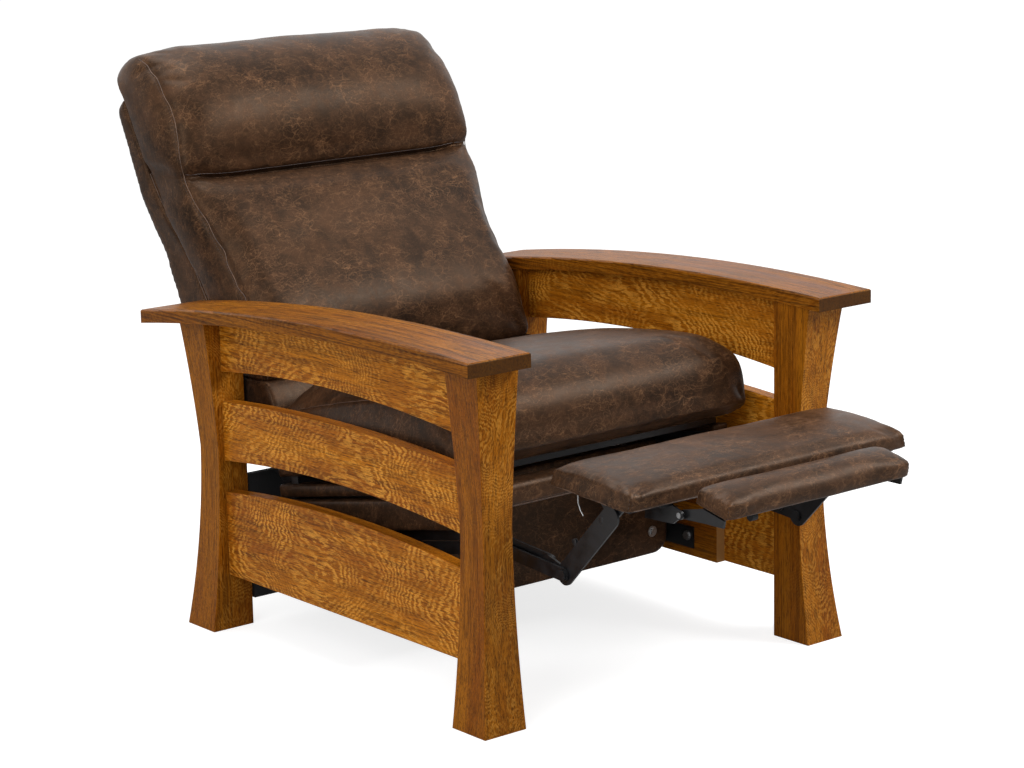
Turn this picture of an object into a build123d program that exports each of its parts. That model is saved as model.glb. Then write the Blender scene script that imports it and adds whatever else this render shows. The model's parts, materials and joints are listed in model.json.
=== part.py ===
from build123d import *
import os
from math import sin, cos, tan, atan, atan2, radians, degrees, sqrt

# Reclining armchair with arched oak side frames, shown with its footrest out.
# X runs left to right, the chair faces -Y, +Z is up and the floor is z = 0.
# Outlines are worked out about the plane midway between front and rear legs,
# and the finished chair is moved along Y so that its whole length is centred.

# Legs
leg_inner_half_width = 316.2
leg_inner_half_depth = 343.8
leg_foot_width = 84.8
leg_waist_width = 59.3
leg_head_width = 84.5
leg_waist_height = 330.0
leg_lower_mid_share = 0.27
leg_upper_mid_share = 0.41

# Arms
arm_inner_reach = 2.0
arm_width = 125.0
arm_thickness = 23.9
arm_radius = 4673.0
arm_crown_height = 599.5
arm_crown_forward = 200.0
arm_front_overhang = 110.9
arm_rear_overhang = 134.8
arm_edge_radius = 3.5

# Boards between the legs
board_outer_setback = 47.5
board_thickness = 25.0
apron_depth = 107.3
apron_bottom_rise = 21.4
apron_slat_gap = 60.4
slat_top_rise = 14.7
slat_depth = 101.3
slat_bottom_rise = 20.9
slat_panel_gap = 58.1
panel_top_rise = 19.3
panel_depth = 171.9

# Mounting cleats inside the lower panels
cleat_thickness = 19.2
cleat_half_length = 196.0
cleat_height = 99.0

# Cloth-covered board between the rear legs
rear_cover_setback = 2.2
rear_cover_thickness = 12.0
rear_cover_drop = 54.5
rear_cover_height = 230.0
rear_block_width = 6.2
rear_block_rise = 64.0
rear_block_height = 166.0

# Steel base: flanged rails, slotted guide plates, two square tubes
steel_thickness = 3.0
base_rail_front = 138.0
base_rail_rear = 185.0
base_flange_drop = 15.5
base_flange_height = 39.0
base_shelf_front = 50.0
guide_plate_gap = 2.0
roller_side_clearance = 0.5
guide_plate_edge = 22.0
tube_size = 25.0
tube_corner_radius = 2.5
tube_wall = 2.0
base_tube_front = 15.0
base_tube_rear = 150.0
base_bolt_radius = 4.0
base_bolt_clearance = 0.25
base_bolt_head_width = 13.0
base_bolt_head_height = 4.2
base_bolt_depth = 14.0
base_washer_radius = 9.0
base_washer_thickness = 1.6
base_bolt_rise = 37.5
base_bolt_front = 123.0
base_bolt_rear = 165.0

# Seat carriage, built on a line that climbs to the front
seat_slope = 11.3
seat_line_drop = 277.1
carriage_inset = 37.0
carriage_front = 235.0
carriage_rear = 262.0
carriage_lower = 129.0
carriage_deep_front = 60.0
carriage_deep_rear = 190.0
carriage_upper = 10.0
carriage_strip = 22.0
roller_line = 115.0
roller_radius = 8.0
roller_clearance = 0.6
roller_axle_radius = 4.0
roller_front_y = -10.0
roller_rear_y = 130.0
glide_forward = 36.0
glide_back = 16.0
seat_rail_side_gap = 13.2
seat_rail_height = 23.5
seat_rail_rear = 276.0
seat_rail_front = 258.0
seat_rail_radius = 6.0
seat_skirt_gap = 5.5
seat_skirt_height = 54.0
seat_skirt_inset = 1.5
front_rail_rear_y = -246.0
front_rail_depth = 38.0
front_rail_drop = 7.4
front_rail_height = 45.0
front_rail_radius = 14.0
rear_rail_thickness = 20.0
rear_rail_top = 20.0
rear_rail_bottom = 60.0
spring_bar_height = 13.0
spring_bar_width = 20.0
spring_bar_inset = 11.0
spring_bar_front = 230.0
spring_bar_rear = 245.0
spring_wire_radius = 1.8
spring_count = 5
spring_side_margin = 84.0
spring_pitch = 30.0
spring_swing = 20.0
spring_bend_radius = 8.0
spring_hook_reach = 10.0
cross_tube_front = 222.0
cross_tube_top = 37.0

# Leather-covered board that hangs under the seat
fascia_front_y = -100.0
fascia_thickness = 20.0
fascia_side_inset = 14.0
fascia_bottom_drop = 212.4
fascia_shoulder_drop = 119.4
fascia_top_drop = 0.4
fascia_side_clearance = 0.4
fascia_corner_radius = 32.0
fascia_edge_radius = 4.0
fascia_bolt_inset = 38.0
fascia_bolt_drop = 169.4
fascia_bolt_radius = 5.5
fascia_bolt_head = 5.0
fascia_washer_radius = 10.0
fascia_washer_thickness = 1.6

# Seat cushion
seat_side_gap = 9.2
seat_seam_inset = 5.0
seat_crown = 29.0
seat_front_y = -296.0
seat_rear_y = 258.0
seat_side_height = 126.0
seat_section_shares = (-1.0, -0.9, -0.55, 0.0, 0.55, 0.9, 1.0)
seat_crown_shares = (0.0, 0.34, 0.86, 1.0, 0.86, 0.34, 0.0)
seat_inset_shares = (1.0, 0.15, 0.0, 0.0, 0.0, 0.15, 1.0)
cushion_gap = 0.3

# Back
back_pivot_y = 420.0
back_pivot_rise = 27.6
back_heel_radius = 165.0
back_tilt = 34.5
back_seam_y = 383.0
back_seam_rise = 127.6
back_rear_tilt = 24.4
back_rear_top_y = 713.0
back_rear_top_rise = 582.6
back_rear_radius = 10.0
back_rear_corner_rise = 5.0
back_rear_bulge_share = 0.33
back_bottom_drop = 22.4
back_notch_forward = 21.0
back_notch_rise = 16.0
back_crease_rise = 475.6
back_side_gap = 9.2
back_upper_overhang = 4.8
back_flare_start_rise = 317.6
back_flare_end_rise = 442.6
back_channel_inner_reach = 11.0
back_channel_outer_reach = 10.0
back_channel_rise = 24.0
lumbar_top_reach = 412.0
lumbar_thickness = 102.0
lumbar_side_swell = 3.5
lumbar_crown = 17.0
lumbar_station_shares = (-0.15, 0.0, 0.14, 0.42, 0.68, 0.86, 1.0)
lumbar_thickness_shares = (0.77, 0.965, 1.06, 1.01, 0.99, 0.93, 0.90)
lumbar_crown_shares = (0.35, 0.75, 1.0, 1.0, 0.85, 0.15, -0.4)
headrest_depth = 213.0
headrest_top_rise = 96.0
headrest_crown = 15.0
headrest_seam_depth = 13.0
headrest_section_shares = (-1.0, -0.93, -0.55, 0.0, 0.55, 0.93, 1.0)
headrest_crown_shares = (-0.45, 0.15, 0.8, 1.0, 0.8, 0.15, -0.45)
headrest_outline_shares = (
    (0.045, 0.31), (0.19, 0.63), (0.40, 0.85),
    (0.64, 0.985), (0.87, 0.93), (1.0, 0.785), (0.98, 0.70),
)
headrest_push_shares = (
    (-0.95, 0.1), (-0.75, 0.45), (-0.45, 0.8),
    (0.0, 0.9), (0.35, 0.7), (0.5, 0.1), (0.2, -0.1),
)

# Steel arms that carry the back
back_arm_width = 34.0
back_arm_boss_radius = 18.0
back_bracket_thickness = 4.0
back_bracket_gap = 1.0
back_bracket_width = 30.0
back_flange_half_length = 34.0
back_flange_width = 14.0
back_pin_radius = 6.0
back_pin_head_radius = 10.0
back_pin_head_height = 2.5

# Footrest linkage, in layers counted inward from the carriage plate
link_thickness = 4.0
layer_gap = 1.0
link_width = 22.0
link_length = 158.0
link_droop = 4.4
knee_y = -462.0
knee_drop = 70.4
control_offset_y = 42.0
control_offset_z = 12.0
wide_link_width = 36.0
shin_rise = 114.0
shin_reach = 110.0
pin_radius = 4.5
pin_clearance = 0.25
pin_head_radius = 8.5
pin_head_height = 3.0
seat_pin_head_height = 2.6

# Footrest board
footrest_tilt = 3.6
footrest_rear_y = -479.0
footrest_rise = 86.6
footrest_length = 186.0
footrest_side_gap = 13.2
footrest_edge_height = 25.0
footrest_crown = 13.0
footrest_end_crown = 3.5
footrest_corner_draw = 3.0
footrest_section_shares = (-1.0, -0.93, -0.6, 0.0, 0.6, 0.93, 1.0)
footrest_crown_shares = (0.0, 0.3, 0.85, 1.0, 0.85, 0.3, 0.0)
underboard_thickness = 6.0
underboard_inset = 15.0
bracket_half_length = 42.0
bracket_flange_width = 26.0
flip_arm_clearance = 2.5
flip_arm_thickness = 4.0
flip_arm_length = 58.0
flip_arm_front_reach = 6.0
flip_arm_rear_drop = 37.0
flip_arm_front_drop = 30.0
flip_arm_flange_width = 24.0
flip_ear_radius = 7.3
flip_pin_radius = 2.25
flip_pin_head_radius = 4.5
flip_pin_head_height = 1.5
flip_hinge_y = -668.0
flip_hinge_rise = 55.6

# Panel that flips out in front of the footrest
flip_tilt = 12.6
flip_rear_y = -699.0
flip_rise = 79.6
flip_length = 69.5
flip_side_inset = 106.0
flip_edge_height = 23.0
flip_crown = 9.0
flip_end_crown = 2.5
flip_board_thickness = 4.0
flip_board_inset = 14.0
flip_bracket_gap = 4.5
flip_bracket_height = 20.0
flip_bracket_front_height = 12.0
flip_bracket_front = 62.0
flip_bracket_bend = 26.0
flip_bracket_notch_drop = 7.0
flip_bracket_flange = 36.0
flip_bumper_inset = 81.0
flip_bumper_radius = 6.5
flip_bumper_width = 12.0
flip_bumper_drop = 15.0
flip_bumper_forward = 44.0
flip_bumper_arm_length = 34.0
flip_bumper_arm_width = 6.0
flip_bumper_arm_height = 9.0
flip_bumper_arm_foot = 4.5

cut_overrun = 20.0
SIDES = ((-1, "left"), (1, "right"))

# Heights and places worked out from the sizes above
leg_flare_height = arm_crown_height
arm_inner_half_width = leg_inner_half_width - arm_inner_reach
board_outer_half_width = leg_inner_half_width + board_outer_setback
seat_rail_half_width = leg_inner_half_width - seat_rail_side_gap
carriage_inner = seat_rail_half_width - carriage_inset
spring_bar_half_length = seat_rail_half_width - spring_bar_inset
spring_spacing = 2 * (spring_bar_half_length - spring_side_margin) / (spring_count - 1)
fascia_half_width = seat_rail_half_width - fascia_side_inset
fascia_bolt_half_width = fascia_half_width - fascia_bolt_inset
seat_half_width = leg_inner_half_width - seat_side_gap
back_lower_half_width = leg_inner_half_width - back_side_gap
back_upper_half_width = leg_inner_half_width + back_upper_overhang
back_channel_inner = carriage_inner - back_channel_inner_reach
back_channel_outer = carriage_inner + back_channel_outer_reach
footrest_half_width = leg_inner_half_width - footrest_side_gap
flip_half_width = footrest_half_width - flip_side_inset
flip_arm_inner = flip_half_width + flip_arm_clearance
flip_bumper_x = flip_bumper_inset - flip_half_width
apron_bottom_crown = arm_crown_height - apron_depth
slat_top_crown = apron_bottom_crown - apron_slat_gap
slat_bottom_crown = slat_top_crown - slat_depth
panel_top_crown = slat_bottom_crown - slat_panel_gap
panel_bottom_height = panel_top_crown - panel_depth
seat_line_height = arm_crown_height - seat_line_drop
rear_cover_front_y = leg_inner_half_depth + rear_cover_setback
rear_cover_bottom = panel_bottom_height - rear_cover_drop
rear_block_bottom = rear_cover_bottom + rear_block_rise
front_rail_bottom = seat_line_height - front_rail_drop
front_rail_front_y = front_rail_rear_y - front_rail_depth
front_rail_top = front_rail_bottom + front_rail_height
fascia_bottom = seat_line_height - fascia_bottom_drop
fascia_shoulder = seat_line_height - fascia_shoulder_drop
fascia_top = seat_line_height - fascia_top_drop
fascia_bolt_height = seat_line_height - fascia_bolt_drop
back_pivot_z = seat_line_height + back_pivot_rise
back_seam_z = seat_line_height + back_seam_rise
back_bottom_z = seat_line_height - back_bottom_drop
back_flare_start_z = seat_line_height + back_flare_start_rise
back_flare_end_z = seat_line_height + back_flare_end_rise
back_crease_z = seat_line_height + back_crease_rise
back_rear_top_z = seat_line_height + back_rear_top_rise
headrest_height = back_rear_top_z + headrest_top_rise - back_crease_z
back_notch_y = back_rear_top_y - back_notch_forward
back_notch_z = back_rear_top_z + back_notch_rise
knee_z = seat_line_height - knee_drop
footrest_rear_z = seat_line_height + footrest_rise
flip_hinge_z = seat_line_height + flip_hinge_rise
flip_rear_z = seat_line_height + flip_rise

# Distances from the middle plane that several pieces share
carriage_outer = carriage_inner + steel_thickness
guide_inner = carriage_outer + guide_plate_gap
guide_outer = guide_inner + steel_thickness
layer_a = carriage_inner - layer_gap
layer_b = layer_a - link_thickness - layer_gap
layer_c = layer_b - link_thickness - layer_gap
layer_d = layer_c - link_thickness - layer_gap
board_inner_half_width = board_outer_half_width - board_thickness
cleat_inner = board_inner_half_width - cleat_thickness
base_flange_inner = cleat_inner - steel_thickness
base_shelf_bottom = panel_bottom_height + base_flange_drop
base_shelf_top = base_shelf_bottom + steel_thickness
slope_sin = sin(radians(seat_slope))
slope_cos = cos(radians(seat_slope))


def polar(length, angle):
    """A (y, z) step of the given length and angle in degrees."""
    return (length * cos(radians(angle)), length * sin(radians(angle)))


def add(a, b):
    return (a[0] + b[0], a[1] + b[1])


def seat_point(forward, up):
    """A (y, z) place from distances along and above the sloping seat line."""
    y = up * slope_sin - forward * slope_cos
    z = seat_line_height + forward * slope_sin + up * slope_cos
    return (y, z)


def seat_coords(y, z):
    """Distances along and above the seat line of a (y, z) place."""
    rise = z - seat_line_height
    return (rise * slope_sin - y * slope_cos, y * slope_sin + rise * slope_cos)


def outline(points):
    """A face from (y, z) corners joined by straight lines."""
    return make_face(Polyline(*points, close=True))


def slab(face, side, inner, outer):
    """A (y, z) face made solid between two distances from the middle plane."""
    solid = extrude(Plane.YZ * face, amount=side * (outer - inner))
    return Pos(side * inner, 0, 0) * solid


def block(x_span, y_span, z_span):
    """A box from its limits along X, Y and Z."""
    spans = (x_span, y_span, z_span)
    size = [abs(b - a) for a, b in spans]
    middle = [(a + b) / 2 for a, b in spans]
    return Pos(*middle) * Box(*size)


def disc(place, radius):
    return Pos(place[0], place[1]) * Circle(radius)


def strap(start, end, width):
    """A flat bar outline with round ends centred on two places."""
    run = (end[0] - start[0], end[1] - start[1])
    length = sqrt(run[0] ** 2 + run[1] ** 2)
    middle = ((start[0] + end[0]) / 2, (start[1] + end[1]) / 2)
    turn = degrees(atan2(run[1], run[0]))
    return Pos(*middle) * Rot(0, 0, turn) * SlotCenterToCenter(length, width)


def rod(place, radius, side, inner, outer):
    return slab(disc(place, radius), side, inner, outer)


# Places of the linkage pivots
knee = (knee_y, knee_z)
seat_pivot = add(knee, polar(-link_length, 180 + link_droop))
control_offset = (control_offset_y, control_offset_z)
control_seat_pivot = add(seat_pivot, control_offset)
control_knee = add(knee, control_offset)
ankle = (knee_y - shin_reach, knee_z + shin_rise)
back_pivot = (back_pivot_y, back_pivot_z)


def arm_under_height(y, offset=0):
    """Height of the arm's underside, or of a line parallel to it."""
    radius = arm_radius + offset
    reach = y + arm_crown_forward
    centre = arm_crown_height - arm_radius
    return centre + sqrt(radius ** 2 - reach ** 2)


def arm_curve(y_start, y_end, offset=0):
    middle = (y_start + y_end) / 2
    places = [(y, arm_under_height(y, offset)) for y in (y_start, middle, y_end)]
    return ThreePointArc(*places)


def arch(crown, rise, y_start, y_end):
    """An arc over the whole space between the legs, symmetric front to rear."""
    return ThreePointArc((y_start, crown - rise), (0, crown), (y_end, crown - rise))


def flare_outline():
    """The leg's width against its height, from the flat inner face outwards."""
    grow_low = leg_foot_width - leg_waist_width
    grow_high = leg_head_width - leg_waist_width
    half_low = leg_waist_height / 2
    half_high = (leg_waist_height + leg_flare_height) / 2
    low_mid = (leg_waist_width + grow_low * leg_lower_mid_share, half_low)
    high_mid = (leg_waist_width + grow_high * leg_upper_mid_share, half_high)
    waist = (leg_waist_width, leg_waist_height)
    head = (leg_head_width, leg_flare_height)
    edges = [
        Line((0, 0), (leg_foot_width, 0)),
        ThreePointArc((leg_foot_width, 0), low_mid, waist),
        ThreePointArc(waist, high_mid, head),
        Line(head, (0, leg_flare_height)),
        Line((0, leg_flare_height), (0, 0)),
    ]
    return make_face(edges)


def under_arm_region(side):
    """Everything below the arm's curved underside on one side of the chair."""
    front = -leg_inner_half_depth - leg_foot_width - cut_overrun
    rear = leg_inner_half_depth + leg_foot_width + cut_overrun
    edges = [
        Line((front, 0), (rear, 0)),
        Line((rear, 0), (rear, arm_under_height(rear))),
        arm_curve(rear, front),
        Line((front, arm_under_height(front)), (front, 0)),
    ]
    outer = leg_inner_half_width + leg_foot_width + cut_overrun
    return slab(make_face(edges), side, arm_inner_half_width - cut_overrun, outer)


def leg(side, end):
    """A leg with flat inner faces and two outer faces flared top and bottom."""
    corner = (side * leg_inner_half_width, end * leg_inner_half_depth, 0)
    reach = leg_foot_width + cut_overrun
    across = Plane(corner, x_dir=(side, 0, 0), z_dir=(0, -side, 0))
    along = Plane(corner, x_dir=(0, end, 0), z_dir=(end, 0, 0))
    wide = extrude(across * flare_outline(), amount=-side * end * reach)
    deep = extrude(along * flare_outline(), amount=side * end * reach)
    return wide & deep & under_arm_region(side)


def arm(side):
    front = -leg_inner_half_depth - arm_front_overhang
    rear = leg_inner_half_depth + arm_rear_overhang
    edges = [
        arm_curve(front, rear),
        Line((rear, arm_under_height(rear)), (rear, arm_under_height(rear, arm_thickness))),
        arm_curve(rear, front, arm_thickness),
        Line((front, arm_under_height(front, arm_thickness)), (front, arm_under_height(front))),
    ]
    outer = arm_inner_half_width + arm_width
    board = slab(make_face(edges), side, arm_inner_half_width, outer)
    top = board.faces().sort_by(Axis.Z)[-1]
    return fillet(top.edges(), arm_edge_radius)


def side_board(side, lower_edge, upper_edge):
    """A board between the legs, from its lower and upper edge curves."""
    low_start, low_end = lower_edge @ 0, lower_edge @ 1
    high_start, high_end = upper_edge @ 0, upper_edge @ 1
    edges = [lower_edge, Line(low_end, high_start), upper_edge, Line(high_end, low_start)]
    return slab(make_face(edges), side, board_inner_half_width, board_outer_half_width)


def arm_apron(side):
    span = leg_inner_half_depth
    lower = arch(apron_bottom_crown, apron_bottom_rise, -span, span)
    edges = [
        lower,
        Line(lower @ 1, (span, arm_under_height(span))),
        arm_curve(span, -span),
        Line((-span, arm_under_height(-span)), lower @ 0),
    ]
    return slab(make_face(edges), side, board_inner_half_width, board_outer_half_width)


def side_slat(side):
    span = leg_inner_half_depth
    lower = arch(slat_bottom_crown, slat_bottom_rise, -span, span)
    upper = arch(slat_top_crown, slat_top_rise, span, -span)
    return side_board(side, lower, upper)


def side_panel(side):
    span = leg_inner_half_depth
    lower = Line((-span, panel_bottom_height), (span, panel_bottom_height))
    upper = arch(panel_top_crown, panel_top_rise, span, -span)
    return side_board(side, lower, upper)


def base_bolt_places():
    height = panel_bottom_height + base_bolt_rise
    return ((-base_bolt_front, height), (base_bolt_rear, height))


def mounting_cleat(side):
    x_span = (side * cleat_inner, side * board_inner_half_width)
    y_span = (-cleat_half_length, cleat_half_length)
    cleat = block(x_span, y_span, (panel_bottom_height, panel_bottom_height + cleat_height))
    hole = base_bolt_radius + base_bolt_clearance
    depth = cleat_inner + base_bolt_depth + base_bolt_clearance
    for place in base_bolt_places():
        cleat -= rod(place, hole, side, cleat_inner, depth)
    return cleat


def rear_cover():
    """Cloth-covered board between the rear legs, with a block at each end."""
    half = leg_inner_half_width - rear_block_width
    y_span = (rear_cover_front_y, rear_cover_front_y + rear_cover_thickness)
    cover = block((-half, half), y_span, (rear_cover_bottom, rear_cover_bottom + rear_cover_height))
    z_span = (rear_block_bottom, rear_block_bottom + rear_block_height)
    for side, _ in SIDES:
        cover += block((side * half, side * leg_inner_half_width), y_span, z_span)
    return cover


def base_bolts():
    bolts = []
    for side, _ in SIDES:
        for place in base_bolt_places():
            face = base_flange_inner
            shank = rod(place, base_bolt_radius, side, face, cleat_inner + base_bolt_depth)
            washer = rod(place, base_washer_radius, side, face - base_washer_thickness, face)
            hexagon = Pos(*place) * RegularPolygon(base_bolt_head_width / 2, 6, major_radius=False)
            seat = face - base_washer_thickness
            head = slab(hexagon, side, seat - base_bolt_head_height, seat)
            bolts.append(shank + washer + head)
    return Compound(bolts)


def roller_places():
    """Roller centres in the shown position, on a line parallel to the seat."""
    places = []
    for y in (roller_front_y, roller_rear_y):
        rise = (-roller_line - y * slope_sin) / slope_cos
        places.append((y, seat_line_height + rise))
    return places


def glide(distance):
    """The (y, z) step of the seat when it glides forward by a distance."""
    return (-distance * slope_cos, distance * slope_sin)


def base_rail(side):
    """Flanged steel rail with the slotted guide plate that stands on it."""
    flange_y = (-base_rail_front, base_rail_rear)
    flange_x = (side * base_flange_inner, side * cleat_inner)
    flange = block(flange_x, flange_y, (base_shelf_bottom, base_shelf_bottom + base_flange_height))
    shelf_x = (side * guide_inner, side * cleat_inner)
    shelf_y = (-base_shelf_front, base_rail_rear)
    shelf = block(shelf_x, shelf_y, (base_shelf_bottom, base_shelf_top))
    front_up = seat_coords(-base_shelf_front, seat_line_height)[0]
    rear_up = seat_coords(base_rail_rear, seat_line_height)[0]
    top_line = guide_plate_edge - roller_line
    crest = []
    for forward in (rear_up, front_up):
        y, z = seat_point(forward, top_line)
        edge_y = base_rail_rear if forward == rear_up else -base_shelf_front
        crest.append((edge_y, z + (y - edge_y) * tan(radians(seat_slope))))
    corners = [(-base_shelf_front, base_shelf_top), (base_rail_rear, base_shelf_top)] + crest
    guide = outline(corners)
    slot_width = 2 * (roller_radius + roller_clearance)
    for place in roller_places():
        ahead = add(place, glide(glide_forward + roller_clearance))
        behind = add(place, glide(-glide_back - roller_clearance))
        guide -= strap(behind, ahead, slot_width)
    rail = flange + shelf + slab(guide, side, guide_inner, guide_outer)
    hole = base_bolt_radius + base_bolt_clearance
    for place in base_bolt_places():
        rail -= rod(place, hole, side, base_flange_inner - cut_overrun, cleat_inner + cut_overrun)
    return rail


def square_tube(half_length, y_start, z_start):
    ring = RectangleRounded(tube_size, tube_size, tube_corner_radius)
    bore = tube_size - 2 * tube_wall
    ring -= RectangleRounded(bore, bore, tube_corner_radius - tube_wall)
    place = Pos(y_start + tube_size / 2, z_start + tube_size / 2)
    return slab(place * ring, 1, -half_length, half_length)


def base_tube(y_start):
    return square_tube(guide_inner, y_start, base_shelf_top)


def carriage_plate(side):
    """Steel side plate of the seat: front nose, deep web and arm to the back."""
    nose = strap(seat_pivot, seat_point(0, seat_coords(*seat_pivot)[1]), carriage_strip)
    web_corners = (
        (carriage_front, -carriage_upper), (-carriage_rear, -carriage_upper),
        (-carriage_rear, -roller_line + carriage_strip), (-carriage_deep_rear, -carriage_lower),
        (carriage_deep_front, -carriage_lower),
        (carriage_deep_front + carriage_strip, -roller_line + carriage_strip / 2),
        (carriage_front, -roller_line + carriage_strip / 2),
    )
    web = outline([seat_point(*corner) for corner in web_corners])
    arm_start = seat_point(-carriage_rear + back_arm_width, -carriage_upper - back_arm_width)
    reach = strap(arm_start, back_pivot, back_arm_width)
    plate = nose + web + reach + disc(back_pivot, back_arm_boss_radius)
    plate -= disc(seat_pivot, pin_radius)
    plate -= disc(back_pivot, back_pin_radius)
    for place in roller_places():
        plate -= disc(place, roller_axle_radius)
    return slab(plate, side, carriage_inner, carriage_outer)


def glide_rollers():
    """Rollers that run in the guide slots, each with its axle in the plate."""
    rollers = []
    for side, _ in SIDES:
        for place in roller_places():
            axle = rod(place, roller_axle_radius, side, carriage_inner, guide_inner)
            start = carriage_outer + roller_side_clearance
            wheel = rod(place, roller_radius, side, start, guide_outer + roller_side_clearance)
            rollers.append(axle + wheel)
    return Compound(rollers)


def seat_rail(side):
    """Leather-covered side rail of the seat box."""
    corners = ((-seat_rail_rear, 0), (-seat_rail_rear, -seat_rail_height),
               (seat_rail_front, -seat_rail_height), (seat_rail_front, 0))
    rail = slab(outline([seat_point(*c) for c in corners]), side, carriage_outer, seat_rail_half_width)
    outer = rail.edges().filter_by(lambda e: abs(e.center().X) > seat_rail_half_width - cushion_gap)
    return fillet(outer, seat_rail_radius)


def seat_skirt(side):
    """Leather-covered board below the side rail."""
    top = -seat_rail_height - seat_skirt_gap
    low = top - seat_skirt_height
    corners = ((-carriage_rear, top), (-carriage_rear, low), (seat_rail_front, low), (seat_rail_front, top))
    outer = seat_rail_half_width - seat_skirt_inset
    board = slab(outline([seat_point(*c) for c in corners]), side, carriage_outer, outer)
    edges = board.edges().filter_by(lambda e: abs(e.center().X) > outer - cushion_gap)
    return fillet(edges, seat_rail_radius)


def seat_front_rail():
    """Leather-covered roll under the cushion's front edge."""
    half = seat_rail_half_width
    y_span = (front_rail_front_y, front_rail_rear_y)
    rail = block((-half, half), y_span, (front_rail_bottom, front_rail_top))
    front = rail.faces().sort_by(Axis.Y)[0]
    long_edges = front.edges().filter_by(Axis.X)
    return fillet(long_edges, front_rail_radius)


def seat_rear_rail():
    corners = ((-carriage_rear, -rear_rail_top), (-carriage_rear, -rear_rail_bottom),
               (rear_rail_thickness - carriage_rear, -rear_rail_bottom),
               (rear_rail_thickness - carriage_rear, -rear_rail_top))
    return slab(outline([seat_point(*c) for c in corners]), 1, -carriage_inner, carriage_inner)


def spring_bars():
    """Two cross bars on the side rails that hold the springs and the cushion."""
    starts = (spring_bar_front - spring_bar_width, -spring_bar_rear)
    bars = []
    for start in starts:
        end = start + spring_bar_width
        corners = ((start, 0), (end, 0), (end, spring_bar_height), (start, spring_bar_height))
        face = outline([seat_point(*c) for c in corners])
        bars.append(slab(face, 1, -spring_bar_half_length, spring_bar_half_length))
    return Compound(bars)


def seat_springs():
    """Zigzag wires between the two spring bars, just under the cushion."""
    front = spring_bar_front - spring_bar_width
    rear = -spring_bar_rear + spring_bar_width
    level = spring_bar_height / 2
    zigzag = front - rear - 2 * spring_hook_reach
    count = int(zigzag / spring_pitch)
    step = zigzag / count
    plane = Plane(
        (0, *seat_point(0, level)), x_dir=(1, 0, 0), z_dir=(0, slope_sin, slope_cos))
    springs = []
    for index in range(spring_count):
        x = (index - (spring_count - 1) / 2) * spring_spacing
        first = -front + spring_hook_reach
        places = [(x, -front), (x, first)]
        for turn in range(count):
            swing = spring_swing if turn % 2 else -spring_swing
            places.append((x + swing, first + step / 2 + turn * step))
        places += [(x, -rear - spring_hook_reach), (x, -rear)]
        path = plane * FilletPolyline(*places, radius=spring_bend_radius)
        start = path @ 0
        section = Plane(start, z_dir=path % 0) * Circle(spring_wire_radius)
        springs.append(sweep(section, path=path))
    return Compound(springs)


def seat_cross_tube():
    """Square tube between the carriage plates with a lug for each control link."""
    start = seat_point(cross_tube_front - tube_size / 2, -cross_tube_top - tube_size / 2)
    ring = RectangleRounded(tube_size, tube_size, tube_corner_radius)
    bore = tube_size - 2 * tube_wall
    ring -= RectangleRounded(bore, bore, tube_corner_radius - tube_wall)
    place = Pos(*start) * Rot(0, 0, -seat_slope)
    tube = slab(place * ring, 1, -carriage_inner, carriage_inner)
    solid = place * Rectangle(tube_size, tube_size)
    for side, _ in SIDES:
        lug = strap(control_seat_pivot, start, link_width) - solid
        lug -= disc(control_seat_pivot, pin_radius)
        tube += slab(lug.faces().sort_by(Axis.X)[0], side, layer_d - link_thickness, layer_d)
    return tube


def seat_pins():
    """Pivot pins that the seat carries: main links, control links and back."""
    pins = []
    for side, _ in SIDES:
        pin = rod(seat_pivot, pin_radius, side, layer_a - link_thickness, carriage_outer)
        head = rod(seat_pivot, pin_head_radius, side, carriage_outer, carriage_outer + seat_pin_head_height)
        pins.append(pin + head)
        pins.append(rod(control_seat_pivot, pin_radius, side, layer_d - link_thickness, layer_c))
        inner = carriage_inner - back_bracket_gap - back_bracket_thickness
        pin = rod(back_pivot, back_pin_radius, side, inner, carriage_outer)
        head_end = carriage_outer + back_pin_head_height
        head = rod(back_pivot, back_pin_head_radius, side, carriage_outer, head_end)
        pins.append(pin + head)
    return Compound(pins)


def fascia():
    """Board under the seat with round lower corners and a narrower upper part."""
    neck = carriage_inner - fascia_side_clearance
    corners = ((-fascia_half_width, fascia_bottom), (fascia_half_width, fascia_bottom),
               (fascia_half_width, fascia_shoulder), (neck, fascia_shoulder), (neck, fascia_top),
               (-neck, fascia_top), (-neck, fascia_shoulder), (-fascia_half_width, fascia_shoulder))
    face = make_face(Polyline(*corners, close=True))
    low = face.vertices().filter_by(lambda v: v.Y < fascia_bottom + cushion_gap)
    face = fillet(low, fascia_corner_radius)
    place = Plane((0, fascia_front_y, 0), x_dir=(1, 0, 0), z_dir=(0, -1, 0))
    board = extrude(place * face, amount=-fascia_thickness)
    front = board.faces().sort_by(Axis.Y)[0]
    board = fillet(front.edges(), fascia_edge_radius)
    for side, _ in SIDES:
        hole = Plane((side * fascia_bolt_half_width, fascia_front_y, fascia_bolt_height), z_dir=(0, 1, 0))
        board -= extrude(hole * Circle(fascia_bolt_radius / 2), amount=fascia_thickness)
    return board


def fascia_bolts():
    bolts = []
    for side, _ in SIDES:
        spot = (side * fascia_bolt_half_width, fascia_front_y, fascia_bolt_height)
        inward = Plane(spot, z_dir=(0, 1, 0))
        outward = Plane(spot, z_dir=(0, -1, 0))
        shank = extrude(inward * Circle(fascia_bolt_radius / 2), amount=fascia_thickness)
        washer = extrude(outward * Circle(fascia_washer_radius), amount=fascia_washer_thickness)
        head = extrude(outward * Circle(fascia_bolt_radius), amount=fascia_bolt_head)
        bolts.append(shank + washer + head)
    return Compound(bolts)


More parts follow.
